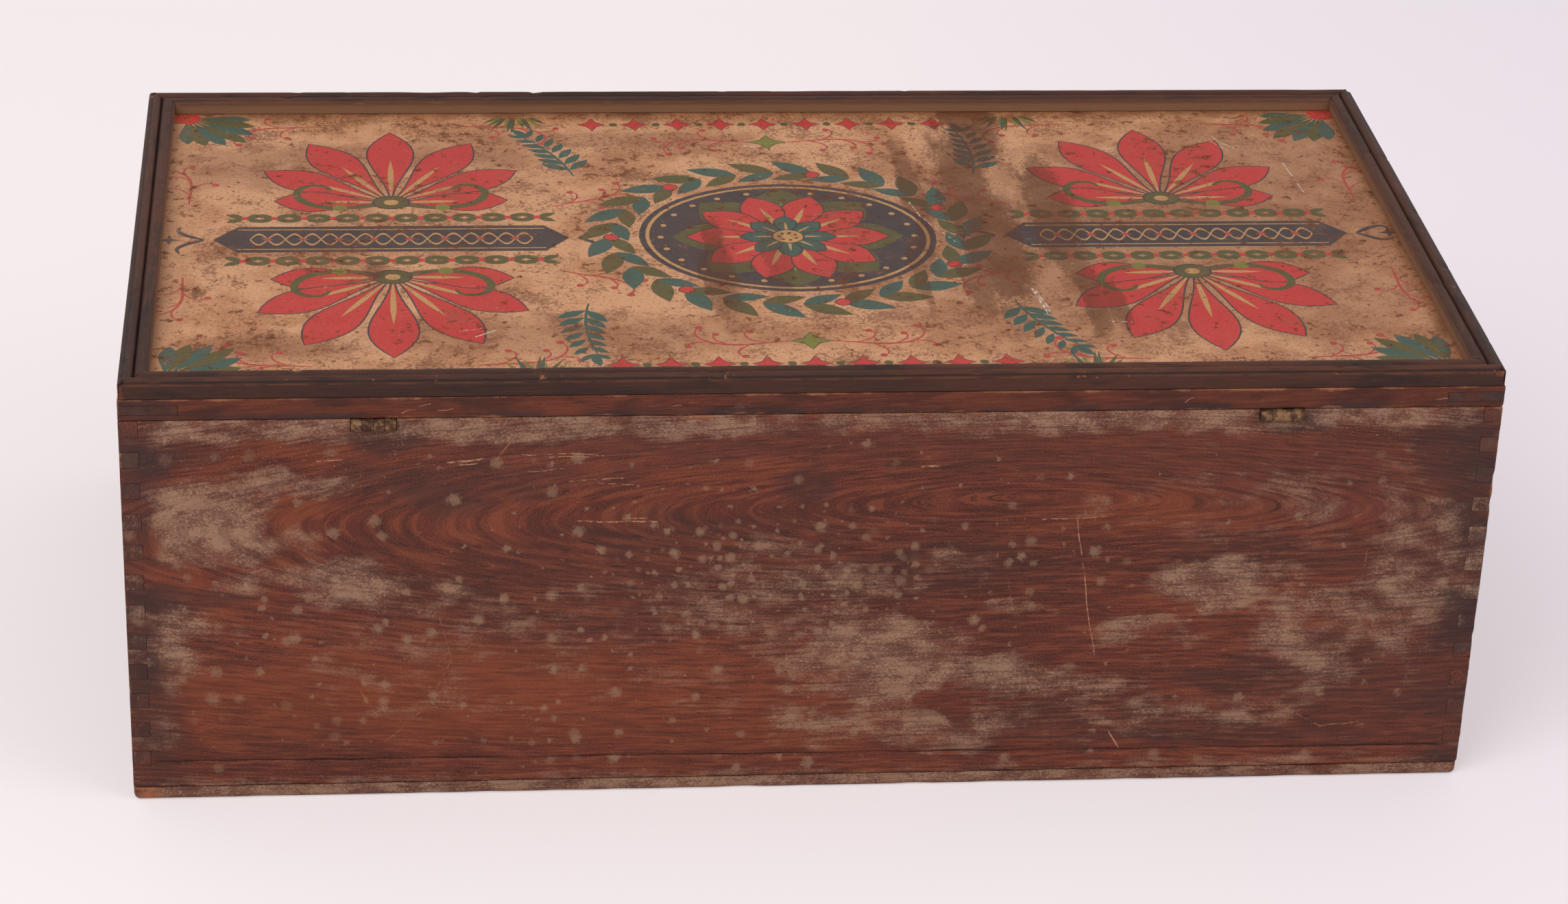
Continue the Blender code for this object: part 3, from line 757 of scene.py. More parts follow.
# %% Throw marks on the other walls
def thrown_marks(seed, half_length):
    """Marks for a plainer wall, in places that a fixed seed gives."""
    dice = random.Random(seed)

    def somewhere():
        """A place on the wall, away from its rim."""
        return dice.uniform(-0.9, 0.9) * half_length, dice.uniform(0.02, 0.145)

    def ovals(count, wide, high, weak, strong):
        """Patches up to a size, with strengths from weak to strong."""
        found = []
        for _turn in range(count):
            reach = (dice.uniform(0.5, 1.0) * wide, dice.uniform(0.5, 1.0) * high)
            found.append((somewhere(), reach, dice.uniform(weak, strong)))
        return found

    def strokes(count, longest):
        """Scratches that run nearly level."""
        found = []
        for _turn in range(count):
            start = Vector(somewhere())
            way = Vector((1, dice.uniform(-0.15, 0.15)))
            end = start + way * dice.uniform(0.2, 1.0) * longest
            found.append((start, end, dice.uniform(0.0003, 0.0006)))
        return found

    return {
        "dusty": ovals(9, 0.28 * half_length, 0.024, 0.35, 0.85),
        "clean": ovals(2, 0.20 * half_length, 0.012, 0.6, 0.9),
        "smoky": ovals(7, 0.26 * half_length, 0.014, 0.3, 0.6),
        "glowing": ovals(3, 0.30 * half_length, 0.012, 0.2, 0.3),
        "pricked": ovals(3, 0.20 * half_length, 0.014, 0.4, 0.8),
        "spotted": [(somewhere(), (0.5 * half_length, 0.05), 0.0115, 0.0032, seed)],
        "pale": strokes(8, 0.035),
        "tan": strokes(5, 0.020),
    }


# %% [markdown]
# ## The shrinkage crack
# Along the foot of the back board runs a fine crack, where the wide board shrank and its nailed
# foot held still. It has depth, so it is cut into the mesh: five cuts run along the line, and the
# middle one is pushed in. The attribute named grime darkens it with dirt and with painted shade.

# %% Open the crack
CRACK_HALF_WIDTH = 0.00042
CRACK_DEPTH = 0.0011
CRACK_END = 0.2484
CRACK_SLOPE = 0.0062
CRACK_LEVEL = 0.01557
CRACK_MARGIN = 0.003
WHOLE_BOARD = 1.0


def outer_back_faces(shape, reach):
    """Faces on the outside of the back board, up to a distance from the crack."""
    chosen = []
    for face in shape.faces:
        middle = face.calc_center_median()
        off = abs(middle.z - CRACK_LEVEL - CRACK_SLOPE * middle.x)
        if face.normal.y > 0.9 and abs(middle.x) < CRACK_END and off < reach:
            chosen.append(face)
    return chosen


def open_crack(shape):
    """Split the outer face of the back board along the crack and sink the middle line."""
    stacked_cuts(shape, UNIT[0], (-CRACK_END, CRACK_END), outer_back_faces(shape, WHOLE_BOARD))
    slant = Vector((-CRACK_SLOPE, 0, 1)).normalized()
    level = slant.z * CRACK_LEVEL
    offsets = (-CRACK_MARGIN, -CRACK_HALF_WIDTH, 0, CRACK_HALF_WIDTH, CRACK_MARGIN)
    lines = [level + offset for offset in offsets]
    stacked_cuts(shape, slant, lines, outer_back_faces(shape, WHOLE_BOARD))
    near = outer_back_faces(shape, CRACK_MARGIN + 0.0001)
    stacked_cuts(shape, UNIT[0], steps_between(-CRACK_END, CRACK_END, 0.0025), near)
    # grime holds the crack's darkening: dirt, and painted shade in the crack
    grime = shape.verts.layers.float.new("grime")
    for corner in shape.verts:
        point = corner.co
        off = slant.dot(point) - level
        if point.y < half_depth - 0.001 or abs(point.x) > CRACK_END - 0.001 or abs(off) > 0.0006:
            continue
        open_share = min(1, max(0.15, 0.72 + 1.3 * noise.noise(Vector((point.x * 24, 5, 0)))))
        wander = noise.noise(Vector((point.x * 60, 3, 0))) * 0.0005
        if abs(off) < 0.00005:
            corner[grime] = open_share
            corner.co.y -= CRACK_DEPTH * open_share
        corner.co.z += wander


# %% Build the walls
CORNER_CHIPS = [
    (Vector((-half_width, half_depth, 0.1307)), 0.0022),
    (Vector((-half_width, half_depth, 0.1205)), 0.0018),
    (Vector((-half_width, half_depth, 0.0620)), 0.0014),
    (Vector((half_width, half_depth, 0.0480)), 0.0013),
    (Vector((half_width, -half_depth, 0.0900)), 0.0020),
    (Vector((-half_width, -half_depth, 0.0300)), 0.0020),
]


def worn_wall(node, finish, last_step=None):
    """A wall with the outer edges of the whole carcass rubbed. last_step may cut it further."""
    shape = merged_copy(node)
    cut_strips(shape, CARCASS_LOW, CARCASS_HIGH, 0.0015)
    rub(shape, CARCASS_LOW, CARCASS_HIGH, 0.0006, CORNER_CHIPS)
    if last_step:
        last_step(shape)
    keep(node + "_worn", shape, finish, "carcass", "stained_wood", node)


worn_wall("back_board", wood_finish(
    "back_board_stain", (0, 2, 1), 1.7, inside_of_walls, 0.30, 0.02, wall_marks(0, BACK_MARKS, 0.0),
    pith=(0.124, -0.037), lean=-0.12, apex=-0.115,
), open_crack)
front_marks = wall_marks(0, thrown_marks(5, half_width), 5.3)
worn_wall("front_board", wood_finish(
    "front_board_stain", (0, 2, 1), 5.3, inside_of_walls, 0.30, 0.04, front_marks,
    pith=(0.060, 0.045), lean=0.10, apex=0.050,
))


def finger_marks(finish, grain, colour, film, relief, ragged):
    """Marks of an end board, with dust and grime over its finger ends, thickest at half height."""
    own_marks = wall_marks(1, thrown_marks(int(grain.seed), half_depth), grain.seed)
    colour, film, relief = own_marks(finish, grain, colour, film, relief, ragged)
    at_corner = finish.step(half_depth - abs(finish.y) + ragged * 0.004, 0.004, 0.0)
    middle = finish.step(abs(finish.z - 0.100) + ragged * 0.03, 0.040, 0.010)
    settled = finish.step(finish.x, 0.10, -0.10, 0.26) + 0.34
    film = finish.most(film * (1 - at_corner * 0.6), at_corner * (0.16 + middle * settled))
    return colour, film, relief


for name, seed in (("left_end_board", 9.1), ("right_end_board", 13.4)):
    worn_wall(name, wood_finish(
        name + "_stain", (1, 2, 0), seed, inside_of_walls, 0.30, 0.0, finger_marks,
        pith=(0.090, 0.040), lean=0.16, apex=0.030,
    ))

# %% [markdown]
# ## The bottom
# The bottom board is nailed on from below. Its edge is rubbed round already in the construction,
# so its copy only gets an uneven rim.


# %% Build the bottom
def inside_of_bottom(finish, ragged):
    """1 on the upper and lower faces, 0 on the edge that shows."""
    rim = finish.maths("MINIMUM", half_width - abs(finish.x), half_depth - abs(finish.y))
    upper = finish.step(finish.z, wall_foot * 0.75, wall_foot * 0.9)
    within = finish.step(rim + ragged * 0.002, 0.004, 0.008)
    scuffed = finish.step(ragged + (finish.cloud(9, 0, 3.0, 3.0) - 0.5), -0.05, 0.16)
    return within * finish.most(upper, 0.80 - scuffed * 0.34)


NAIL_RECESS = 0.0004
CORNER_ORANGE = paint(158, 96, 62)


def bottom_marks(finish, grain, colour, film, relief, ragged):
    """An even film of dust over the edge, and one corner knocked back to the raw wood."""
    corner = finish.step(finish.x + ragged * 0.008, half_width - 0.013, half_width - 0.005)
    facing = finish.step(finish.y, 0, half_depth * 0.9)
    bared = corner * facing
    colour = finish.blend(bared * finish.step(ragged, -0.14, 0.06) * 0.8, colour, CORNER_ORANGE)
    streaks = grain.drawn(16, 90, 3.0)
    cleaner = finish.step(finish.x, -0.06, -0.20)
    settled = 0.74 + streaks * 0.5 - bared * 0.6 - cleaner * 0.3
    return colour, finish.most(film, settled), relief


def uneven_bottom():
    """The bottom board with its edge dented, and hollowed a little below, where its nails sit."""
    name = "bottom_board"
    shape = merged_copy(name)
    low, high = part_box(name)
    for axis in (0, 1):
        stacked_cuts(shape, UNIT[axis], steps_between(low[axis], high[axis], 0.003), shape.faces[:])
    wear = shape.verts.layers.float.new("wear")
    for corner in shape.verts:
        point = corner.co.copy()
        rim = min(high.x - abs(point.x), high.y - abs(point.y))
        corner[wear] = max(0.0, 1 - rim / 0.002) * 0.7
        if rim < 0.004:
            dent = max(0.0, noise.noise(point * 60 + Vector((7, 0, 0)))) * 0.0008
            centre = Vector((point.x * 0.97, point.y * 0.97, high.z * 0.5))
            corner.co = point + (centre - point).normalized() * dent * (1 - rim / 0.004)
        if rim > 0.0028 and point.z < high.z / 2:
            corner.co.z = low.z + NAIL_RECESS
    finish = wood_finish(name + "_stain", (0, 1, 2), 17.9, inside_of_bottom, 0.5, -0.02, bottom_marks)
    keep(name + "_worn", shape, finish, "carcass", "stained_wood", name)


uneven_bottom()

# %% [markdown]
# ## The lid's frame
# Rails and stiles share a rounded box too. Their stain is redder than the walls', with dark damp
# along the lower edge. The open tenons show as dark end grain.

# %% Build the frame
FRAME_LOW = Vector((-half_width, -half_depth, lid_low.z))
FRAME_HIGH = Vector((half_width, half_depth, lid_high.z))


def inside_of_frame(finish, ragged):
    """1 on the underside and the inner edges of the frame, 0 on its outer edge."""
    depth = finish.maths("MINIMUM", half_width - abs(finish.x), half_depth - abs(finish.y))
    return finish.step(depth + ragged * 0.002, 0.0025, 0.0045) * 0.8


FRAME_SCRATCHES = lines_of([
    (154, 164, 149, 165.4, 0.24), (147.6, 166.8, 143.2, 167.4, 0.26),
    (140.4, 164.6, 135.2, 165.6, 0.24), (58, 165.5, 52, 165.9, 0.3), (49, 166.8, 42, 166.4, 0.26),
    (-135, 165, -138, 166.8, 0.28), (-230, 165, -235, 165.5, 0.3),
])


def frame_marks(finish, grain, colour, film, relief, ragged):
    """Warmer stain with dark damp along the lower edge, and a few pale scratches at the back."""
    warm = finish.step(abs(finish.x - 0.02) + (grain.blotches - 0.5) * 0.4, 0.06, 0.16)
    colour = finish.blend(0.04 + warm * 0.22, colour, STAIN_GLOW)
    colour = finish.blend(finish.step(grain.smears, 0.47, 0.62) * 0.36 + 0.34, colour, STAIN_DARK)
    damp = grain.drawn(26, 40, 3.0)
    low_edge = finish.step(finish.z, lid_low.z + 0.0042, lid_low.z + 0.0006)
    colour = finish.blend(low_edge * finish.step(damp, 0.46, 0.60) * 0.8, colour, STAIN_SMOKE)
    colour = end_smoke(finish, colour, ragged)
    bend = finish.noise(finish.point(finish.x * 260, finish.z * 260, 5.0), 2.0) - 0.5
    place = finish.point(finish.x + bend * 0.0015, finish.z + bend * 0.0015, 0)
    lines = scratches(finish, place, FRAME_SCRATCHES)
    lines = lines * finish.step(ragged, -0.10, 0.06) * finish.step(finish.y, 0, half_depth)
    return finish.blend(lines * 0.60, colour, PALE_MARK), film, relief - lines * 0.5


def worn_frame_side(node, axes, seed):
    """One side of the lid's frame."""
    shape = merged_copy(node)
    cut_strips(shape, FRAME_LOW, FRAME_HIGH, 0.002)
    rub(shape, FRAME_LOW, FRAME_HIGH, 0.0005)
    finish = wood_finish(
        node + "_stain", axes, seed, inside_of_frame, 0.20, -0.10, frame_marks,
        pith=(0.10, 0.05), lean=0.04, apex=0.0,
    )
    keep(node + "_worn", shape, finish, "lid", "lid_wood", node)


for turn, name in enumerate(("lid_rail_back", "lid_rail_front")):
    worn_frame_side(name, (0, 2, 1), 21.3 + turn)
for turn, name in enumerate(("lid_stile_left", "lid_stile_right")):
    worn_frame_side(name, (1, 2, 0), 25.6 + turn)

# %% [markdown]
# ## The beaded moulding
# The moulding is nearly black-brown, with dirt in the quirk between its two beads. Wear takes the
# crown of the beads down in shallow dips, so each length is cut across every two millimetres and
# its upper points sink a little by noise.

# %% Build the moulding
MOULDING_DARK = paint(58, 36, 30)
MOULDING_MID = paint(82, 47, 35)
MOULDING_BLACK = paint(36, 28, 27)
QUIRK_DIRT = paint(104, 62, 45)
CHIP_ORANGE = paint(158, 92, 58)
DIRTY_TAN = paint(126, 90, 68)
outer_half_width = moulding_high.x
outer_half_depth = moulding_high.y
LEDGE_LEVEL = moulding_low.z + 0.0054
LEDGE_WIDTH = 0.0011
QUIRK_INSET = moulding_width / 2
BEAD_FOOT = QUIRK_INSET - 0.0004


def moulding_finish(name, axes, seed):
    """Dark stain over the beads, dusty inside, rubbed to the wood on the arrises."""
    finish = Finish(name)
    grain = Grain(finish, axes, seed, pith=(0.12, 0.06), lean=0.03, apex=0.0)
    ragged = finish.cloud(90, 90, seed, 4.0, 0.6) - 0.5
    grit = finish.cloud(2600, 2600, 0, 1.0)
    inset = finish.maths("MINIMUM", outer_half_width - abs(finish.x), outer_half_depth - abs(finish.y))
    colour = finish.blend(finish.step(grain.blotches, 0.38, 0.66), MOULDING_DARK, MOULDING_MID)
    colour = finish.layered(
        colour,
        (grain.smears, 0.52, 0.72, 0.7, MOULDING_BLACK),
        (grain.fibres, 0.52, 0.80, 0.45, QUIRK_DIRT),
        (grain.fibres, 0.48, 0.25, 0.6, MOULDING_BLACK),
        (grit + ragged * 0.5, 0.66, 0.80, 0.35, DIRTY_TAN),
        (inset + ragged * 0.0006, 0.0009, 0.0003, 0.30, MOULDING_BLACK),
    )
    on_top = finish.step(finish.z, LEDGE_LEVEL, LEDGE_LEVEL + 0.0002)
    for level in (QUIRK_INSET, LEDGE_WIDTH + 0.0001):
        groove = finish.step(abs(inset - level), 0.0006, 0.0002) * on_top
        colour = finish.blend(groove * 0.85, colour, MOULDING_BLACK)
    at_ledge = finish.step(abs(finish.z - LEDGE_LEVEL), 0.0006, 0.0001)
    worn_line = at_ledge * finish.step(inset, 0.0008, 0.0003) * finish.step(ragged, -0.12, 0.10)
    colour = finish.blend(worn_line * 0.55, colour, QUIRK_DIRT)
    inner = finish.step(inset + ragged * 0.0008, moulding_width - 0.0016, moulding_width - 0.0004)
    low = finish.step(finish.z, moulding_high.z, moulding_low.z + 0.003)
    colour = finish.blend(inner * low * 0.95, colour, DIRTY_TAN)
    patchy = finish.cloud(34, 0, seed) - 0.5
    rubbed = finish.step(finish.attribute("wear") + ragged * 1.3 + grit * 0.2 + patchy, 0.84, 1.14)
    flaked = finish.step(finish.cloud(210, 260, seed, 3.0, 0.7) + patchy * 0.4, 0.67, 0.72)
    high_up = finish.step(finish.z, LEDGE_LEVEL - 0.0016, LEDGE_LEVEL)
    near_arris = finish.step(inset, 0.0036, 0.0020) * high_up
    rubbed = finish.most(rubbed, flaked * near_arris * 0.62)
    colour = finish.blend(rubbed * 0.9, colour, CHIP_ORANGE)
    relief = grain.fibres * 0.6 - grain.pores * 0.4 + grit * 0.1 - rubbed * 0.5
    return finish.surface(colour, 0.50 + grit * 0.12 + inner * 0.2, relief, 0.00018)


def worn_moulding(node, axes, seed):
    """A length of moulding with dips and nicks in its beads."""
    shape = merged_copy(node)
    low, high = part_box(node)
    axis = axes[0]
    stacked_cuts(shape, UNIT[axis], steps_between(low[axis], high[axis], 0.002), shape.faces[:])
    wear = shape.verts.layers.float.new("wear")
    for corner in shape.verts:
        point = corner.co.copy()
        inset = min(outer_half_width - abs(point.x), outer_half_depth - abs(point.y))
        rise = (point.z - low.z) / (high.z - low.z)
        corner_gap = math.hypot(outer_half_width - abs(point.x), outer_half_depth - abs(point.y))
        if point.z > LEDGE_LEVEL - 0.0001 and 0.0001 < inset < BEAD_FOOT:
            narrowed = LEDGE_WIDTH + inset * (1 - LEDGE_WIDTH / BEAD_FOOT)
            side = 1 - axis
            corner.co[side] -= math.copysign(narrowed - inset, point[side])
        at_corner = max(0.0, 1 - corner_gap / 0.012)
        corner[wear] = max(0.0, 0.9 - inset / 0.0022) * (0.25 + 0.60 * at_corner)
        if rise > 0.4:
            dip = max(0.0, noise.noise(point * 45 + Vector((seed, 0, 0)))) * 0.00040
            nick = max(0.0, noise.noise(point * 190 + Vector((seed, 0, 0))) - 0.38) * 0.0022
            corner.co.z -= (dip + nick) * (rise - 0.4) / 0.6
    finish = moulding_finish(node + "_stain", axes, seed)
    keep(node + "_worn", shape, finish, "lid", "moulding_wood", node)


for turn, name in enumerate(("moulding_back", "moulding_front")):
    worn_moulding(name, (0, 1, 2), 31.2 + turn)
for turn, name in enumerate(("moulding_left", "moulding_right")):
    worn_moulding(name, (1, 0, 2), 35.8 + turn)

# %% [markdown]
# ## The printed plate
# The lid carries a sheet of printed tin. Each ink went on in a pass of its own; here the passes
# line up exactly. The design is plain ornament in the colours of such a plate: a wreath
# and a rosette in the middle, palmettes, slate bands with a plait, sprigs and fine red scrolls.
# Every motif is an outline, and a short function draws each kind. Places are in millimetres on
# the plate, with the lid read from the front of the box.

# %% Outlines for the printer
PETAL_STEPS = 14
SCROLL_STEPS = 22


def aim(angle):
    """The direction of an angle given in degrees."""
    return Vector((math.cos(math.radians(angle)), math.sin(math.radians(angle))))


def petal(root, angle, length, width, belly=0.55):
    """A pointed petal. belly is the share of its length where it is widest."""
    ahead = aim(angle)
    aside = Vector((-ahead.y, ahead.x))
    power = math.log(0.5) / math.log(belly)
    shares = [turn / PETAL_STEPS for turn in range(PETAL_STEPS + 1)]
    widths = [width / 2 * math.sin(math.pi * share ** power) for share in shares]
    spine = [Vector(root) + ahead * (length * share) for share in shares]
    left = [place + aside * half for place, half in zip(spine, widths)]
    right = [place - aside * half for place, half in zip(spine, widths)]
    return left + right[-2:0:-1]


def curl(root, angle, length, first_bend, last_bend):
    """Places and headings along a curl. Its bends are in degrees for each millimetre."""
    place = Vector(root)
    heading = angle
    course = []
    for turn in range(SCROLL_STEPS + 1):
        share = turn / SCROLL_STEPS
        course.append((place, heading))
        heading += (first_bend + (last_bend - first_bend) * share ** 2) * length / SCROLL_STEPS
        place = place + aim(heading) * (length / SCROLL_STEPS)
    return course


def scroll(root, angle, length, first_bend, last_bend, thick):
    """A tapering stroke along a curl."""
    left, right = [], []
    for turn, (place, heading) in enumerate(curl(root, angle, length, first_bend, last_bend)):
        half = thick / 2 * (0.25 + 0.75 * math.sin(math.pi * (0.12 + 0.80 * turn / SCROLL_STEPS)))
        aside = aim(heading + 90)
        left.append(place + aside * half)
        right.append(place - aside * half)
    return left + right[::-1]


def on_oval(centre, angle, reach_x, reach_y):
    """The place that lies at an angle on an oval."""
    way = aim(angle)
    return Vector(centre) + Vector((way.x * reach_x, way.y * reach_y))


def oval(centre, reach_x, reach_y, steps):
    """A round or oval spot."""
    return [on_oval(centre, 360 * turn / steps, reach_x, reach_y) for turn in range(steps)]


def lozenge(centre, reach_x, reach_y, waist=0.35):
    """A four-pointed star with hollow sides."""
    reaches = [1, waist] * 4
    points = []
    for turn, reach in enumerate(reaches):
        way = aim(45 * turn) * reach
        points.append(Vector(centre) + Vector((way.x * reach_x, way.y * reach_y)))
    return points


def plait_strand(start, length, swing, waves, thick, phase):
    """One strand of a plait: a stroke along a sine wave."""
    steps = waves * 12
    left, right = [], []
    for turn in range(steps + 1):
        share = turn / steps
        rise = math.sin(math.tau * waves * share + phase) * swing
        place = Vector(start) + Vector((length * share, rise))
        left.append(place + Vector((0, thick / 2)))
        right.append(place - Vector((0, thick / 2)))
    return left + right[::-1]


# %% Motifs made of outlines
INKS = {
    "red": paint(174, 42, 42),
    "olive": paint(72, 70, 36),
    "teal": paint(42, 76, 68),
    "slate": paint(46, 43, 48),
    "moss": paint(104, 106, 42),
    "straw": paint(172, 128, 80),
    "rose": paint(158, 54, 48),
}
printed = []


def stamp(outline, ink):
    """Print an outline over what is there. It runs anticlockwise, so that its inside is known."""
    points = [Vector(point) for point in outline]
    following = points[1:] + points[:1]
    turns = sum(one.x * two.y - two.x * one.y for one, two in zip(points, following))
    printed.append((points if turns > 0 else points[::-1], ink))


def rimmed(outline, ink, rim=0.7):
    """An outline with a thin dark line round it."""
    stamp(outline, ink)
    points = printed.pop()[0]
    wider = []
    for turn, point in enumerate(points):
        run = points[(turn + 1) % len(points)] - points[turn - 1]
        wider.append(point + Vector((run.y, -run.x)).normalized() * rim)
    stamp(wider, "slate")
    stamp(points, ink)


def palmette(root, angle, length, width, petals, spread, ink):
    """A fan of petals that grows from a root, with volutes at its foot."""
    for turn in range(petals):
        share = turn / (petals - 1) * 2 - 1
        own = length * (1 - 0.34 * share * share)
        rimmed(petal(root, angle + spread / 2 * share, own, width, 0.68), ink)
    for turn in range(petals):
        share = turn / (petals - 1) * 2 - 1
        own = length * (1 - 0.34 * share * share) * 0.60
        stamp(petal(root, angle + spread / 2 * share, own, width * 0.13, 0.6), "straw")
    for side in (1, -1):
        stamp(scroll(root, angle + side * 118, length * 0.95, side * -1.0, side * -11, 3.6), "olive")
        stamp(oval(Vector(root) + aim(angle + side * 104) * (length * 0.30), 3.0, 3.0, 12), "moss")
    rimmed(oval(root, 7, 6, 18), "olive")
    stamp(oval(root, 3, 2.6, 12), "straw")


def vine(root, angle, length, bend, side, ink):
    """A thin stem that ends in a curl, with small curls on both sides that end in dots."""
    course = curl(root, angle, length, side * bend, side * -10)
    stamp(scroll(root, angle, length, side * bend, side * -10, 1.2), ink)
    stamp(oval(course[-1][0], 1.7, 1.7, 8), ink)
    for turn, share in enumerate((0.18, 0.34, 0.50, 0.66)):
        place, heading = course[round(share * SCROLL_STEPS)]
        way = side if turn % 2 else -side
        own = length * (0.34 - 0.04 * turn)
        twig = curl(place, heading + way * 24, own, way * 2, way * 26)
        stamp(scroll(place, heading + way * 24, own, way * 2, way * 26, 0.9), ink)
        stamp(oval(twig[-1][0], 1.5, 1.5, 8), ink)


def tuft(root, angle, length, blades):
    """A bunch of grass in three greens."""
    inks = ("olive", "moss", "teal")
    for turn in range(blades):
        share = turn / (blades - 1) * 2 - 1
        own = length * (1 - 0.45 * abs(share)) * (0.82 + 0.18 * math.sin(turn * 2.6))
        foot = Vector(root) + aim(angle - 90) * (share * length * -0.34)
        heading = angle + share * 46 + 7 * math.sin(turn * 1.9)
        stamp(petal(foot, heading, own, length * 0.085, 0.4), inks[turn % 3])


def sprig(root, angle, length, leaves, ink):
    """A bent stem with pairs of leaves."""
    place = Vector(root)
    bend = 26 / leaves
    stamp(scroll(root, angle, length, 26 / length, 26 / length, 1.3), ink)
    for turn in range(leaves):
        heading = angle + bend * turn
        place = place + aim(heading) * (length / leaves)
        for side in (1, -1):
            own = length * 0.30 * (1 - 0.45 * turn / leaves)
            stamp(petal(place, heading + side * 48, own, own * 0.36, 0.5), ink)
    stamp(petal(place, angle + 26, length * 0.24, length * 0.09, 0.5), ink)


def plait_band(centre, reach_x, reach_y):
    """A slate band with pointed ends, a straw-coloured plait and two fine lines."""
    x, y = centre
    ends = [(x + reach_x + reach_y * 0.8, y), (x + reach_x, y + reach_y)]
    ends += [(x - reach_x, y + reach_y), (x - reach_x - reach_y * 0.8, y)]
    ends += [(x - reach_x, y - reach_y), (x + reach_x, y - reach_y)]
    stamp([Vector(point) for point in ends], "slate")
    for phase in (0, math.pi):
        strand = plait_strand((x - reach_x * 0.92, y), reach_x * 1.84, reach_y * 0.42, 8, 1.5, phase)
        stamp(strand, "straw")
    for turn in range(8):
        stamp(lozenge((x + (turn - 3.5) * reach_x * 0.23, y), 2.4, 2.4, 0.4), "rose")
    for side in (1, -1):
        line_start = (x - reach_x, y + side * reach_y * 0.76)
        stamp(plait_strand(line_start, reach_x * 2, 0, 1, 0.7, 0), "straw")
        root = (x + side * (reach_x + reach_y * 1.1), y)
        for turn in (1, -1):
            angle = 90 - side * 90 + turn * 35
            stamp(scroll(root, angle, 17, turn * side * -1.5, turn * side * 22, 2.2), "slate")
        stamp(lozenge((x + side * (reach_x + reach_y * 2.2), y), 4.5, 4.5), "slate")


def leaf_row(centre, count, spacing, leaf, ink):
    """A row of leaves in pairs, with a berry between them."""
    for turn in range(count):
        place = Vector(centre) + Vector(((turn - (count - 1) / 2) * spacing, 0))
        for side in (1, -1):
            stamp(petal(place, 90 - side * 62, leaf, leaf * 0.42, 0.5), ink)
            stamp(petal(place, -90 + side * 62, leaf, leaf * 0.42, 0.5), ink)
        stamp(oval(place, 1.5, 1.5, 10), "red")


def wreath(centre, reach_x, reach_y, leaves):
    """Two rows of leaves that follow each other round an oval."""
    for turn in range(leaves):
        angle = 360 * turn / leaves
        place = on_oval(centre, angle, reach_x, reach_y)
        outer, inner = ("olive", "teal") if turn % 2 else ("teal", "olive")
        stamp(petal(place, angle + 62, 21, 8.5, 0.45), outer)
        stamp(petal(place, angle + 118, 18, 7.0, 0.45), inner)
        if turn % 4 == 0:
            rimmed(oval(place, 2.8, 2.8, 12), "red", 0.5)


def rosette(centre, reach, petals, width, ink, vein):
    """A round flower with a vein in each petal."""
    for turn in range(petals):
        rimmed(petal(centre, 360 * turn / petals, reach, width, 0.66), ink)
    for turn in range(petals):
        stamp(petal(centre, 360 * turn / petals, reach * 0.72, width * 0.14, 0.6), vein)


# %% Lay out the design
SIDE_X = 156
SIDES = (1, -1)


def print_quarter(side_x, side_y):
    """The motifs that stand in each quarter of the plate, mirrored from quarter to quarter."""
    both = side_x * side_y
    for turn in SIDES:
        start = (side_x * SIDE_X + turn * 30, side_y * 112)
        vine(start, 90 - turn * 90 - turn * side_y * 8, 46, 0.6, turn * side_y, "rose")
    vine((side_x * 92, side_y * 30), 90 - side_x * 90 + both * 150, 40, 1.2, both, "rose")
    vine((side_x * 236, side_y * 34), 90 * side_y, 44, 0.4, both, "rose")
    palmette((side_x * SIDE_X, side_y * 35), 90 * side_y, 70, 18.5, 7, 176, "red")
    sprig((side_x * 82, side_y * 60), 90 - side_x * 90 + both * 78, 44, 7, "teal")
    tuft((side_x * 104, side_y * 121), -90 * side_y, 20, 13)
    corner = Vector((side_x * 240, side_y * 121))
    inward = math.degrees(math.atan2(-side_y, -side_x))
    for turn in range(-3, 4):
        ink = "teal" if turn % 2 else "olive"
        stamp(petal(corner, inward + turn * 14, 36 - abs(turn) * 3, 7.0, 0.7), ink)
    stamp(oval(corner, 6, 6, 16), "red")
    for turn in SIDES:
        heading = 90 - turn * 90 + turn * side_y * 8
        vine((turn * 8, side_y * 94), heading, 46, 0.3, turn * side_y, "rose")


def print_design():
    """The whole design, from the back layer to the front one."""
    for side_x in SIDES:
        for side_y in SIDES:
            print_quarter(side_x, side_y)
            leaf_row((side_x * SIDE_X, side_y * 20), 11, 11.5, 8.5, "olive")
        plait_band((side_x * SIDE_X, 0), 60, 12)
    for turn in range(-8, 9):
        for side_y in SIDES:
            if turn % 2:
                stamp(oval((turn * 9.0, side_y * 113), 1.8, 1.8, 10), "olive")
            else:
                rimmed(lozenge((turn * 9.0, side_y * 113), 5.8, 6.4, 0.42), "red", 0.5)
    for side_y in SIDES:
        rimmed(lozenge((0, side_y * 94), 8, 7, 0.45), "moss", 0.5)
    wreath((0, 0), 70, 62, 28)
    for ink, shrink in (("slate", 0), ("straw", 2.5), ("slate", 4)):
        stamp(oval((0, 0), 59 - shrink, 51 - shrink, 48), ink)
    for place in oval((0, 0), 50.5, 42.5, 24):
        stamp(oval(place, 1.3, 1.3, 8), "straw")
    rosette((0, 0), 46, 8, 25, "olive", "moss")
    rosette((0, 0), 40, 10, 16.5, "red", "straw")
    rosette((0, 0), 19, 8, 8.5, "teal", "straw")
    rimmed(oval((0, 0), 6, 6, 18), "straw")
    for turn in range(7):
        stamp(oval(aim(360 * turn / 7) * 3.4, 0.8, 0.8, 8), "slate")


print_design()
print(len(printed), "outlines on the plate")

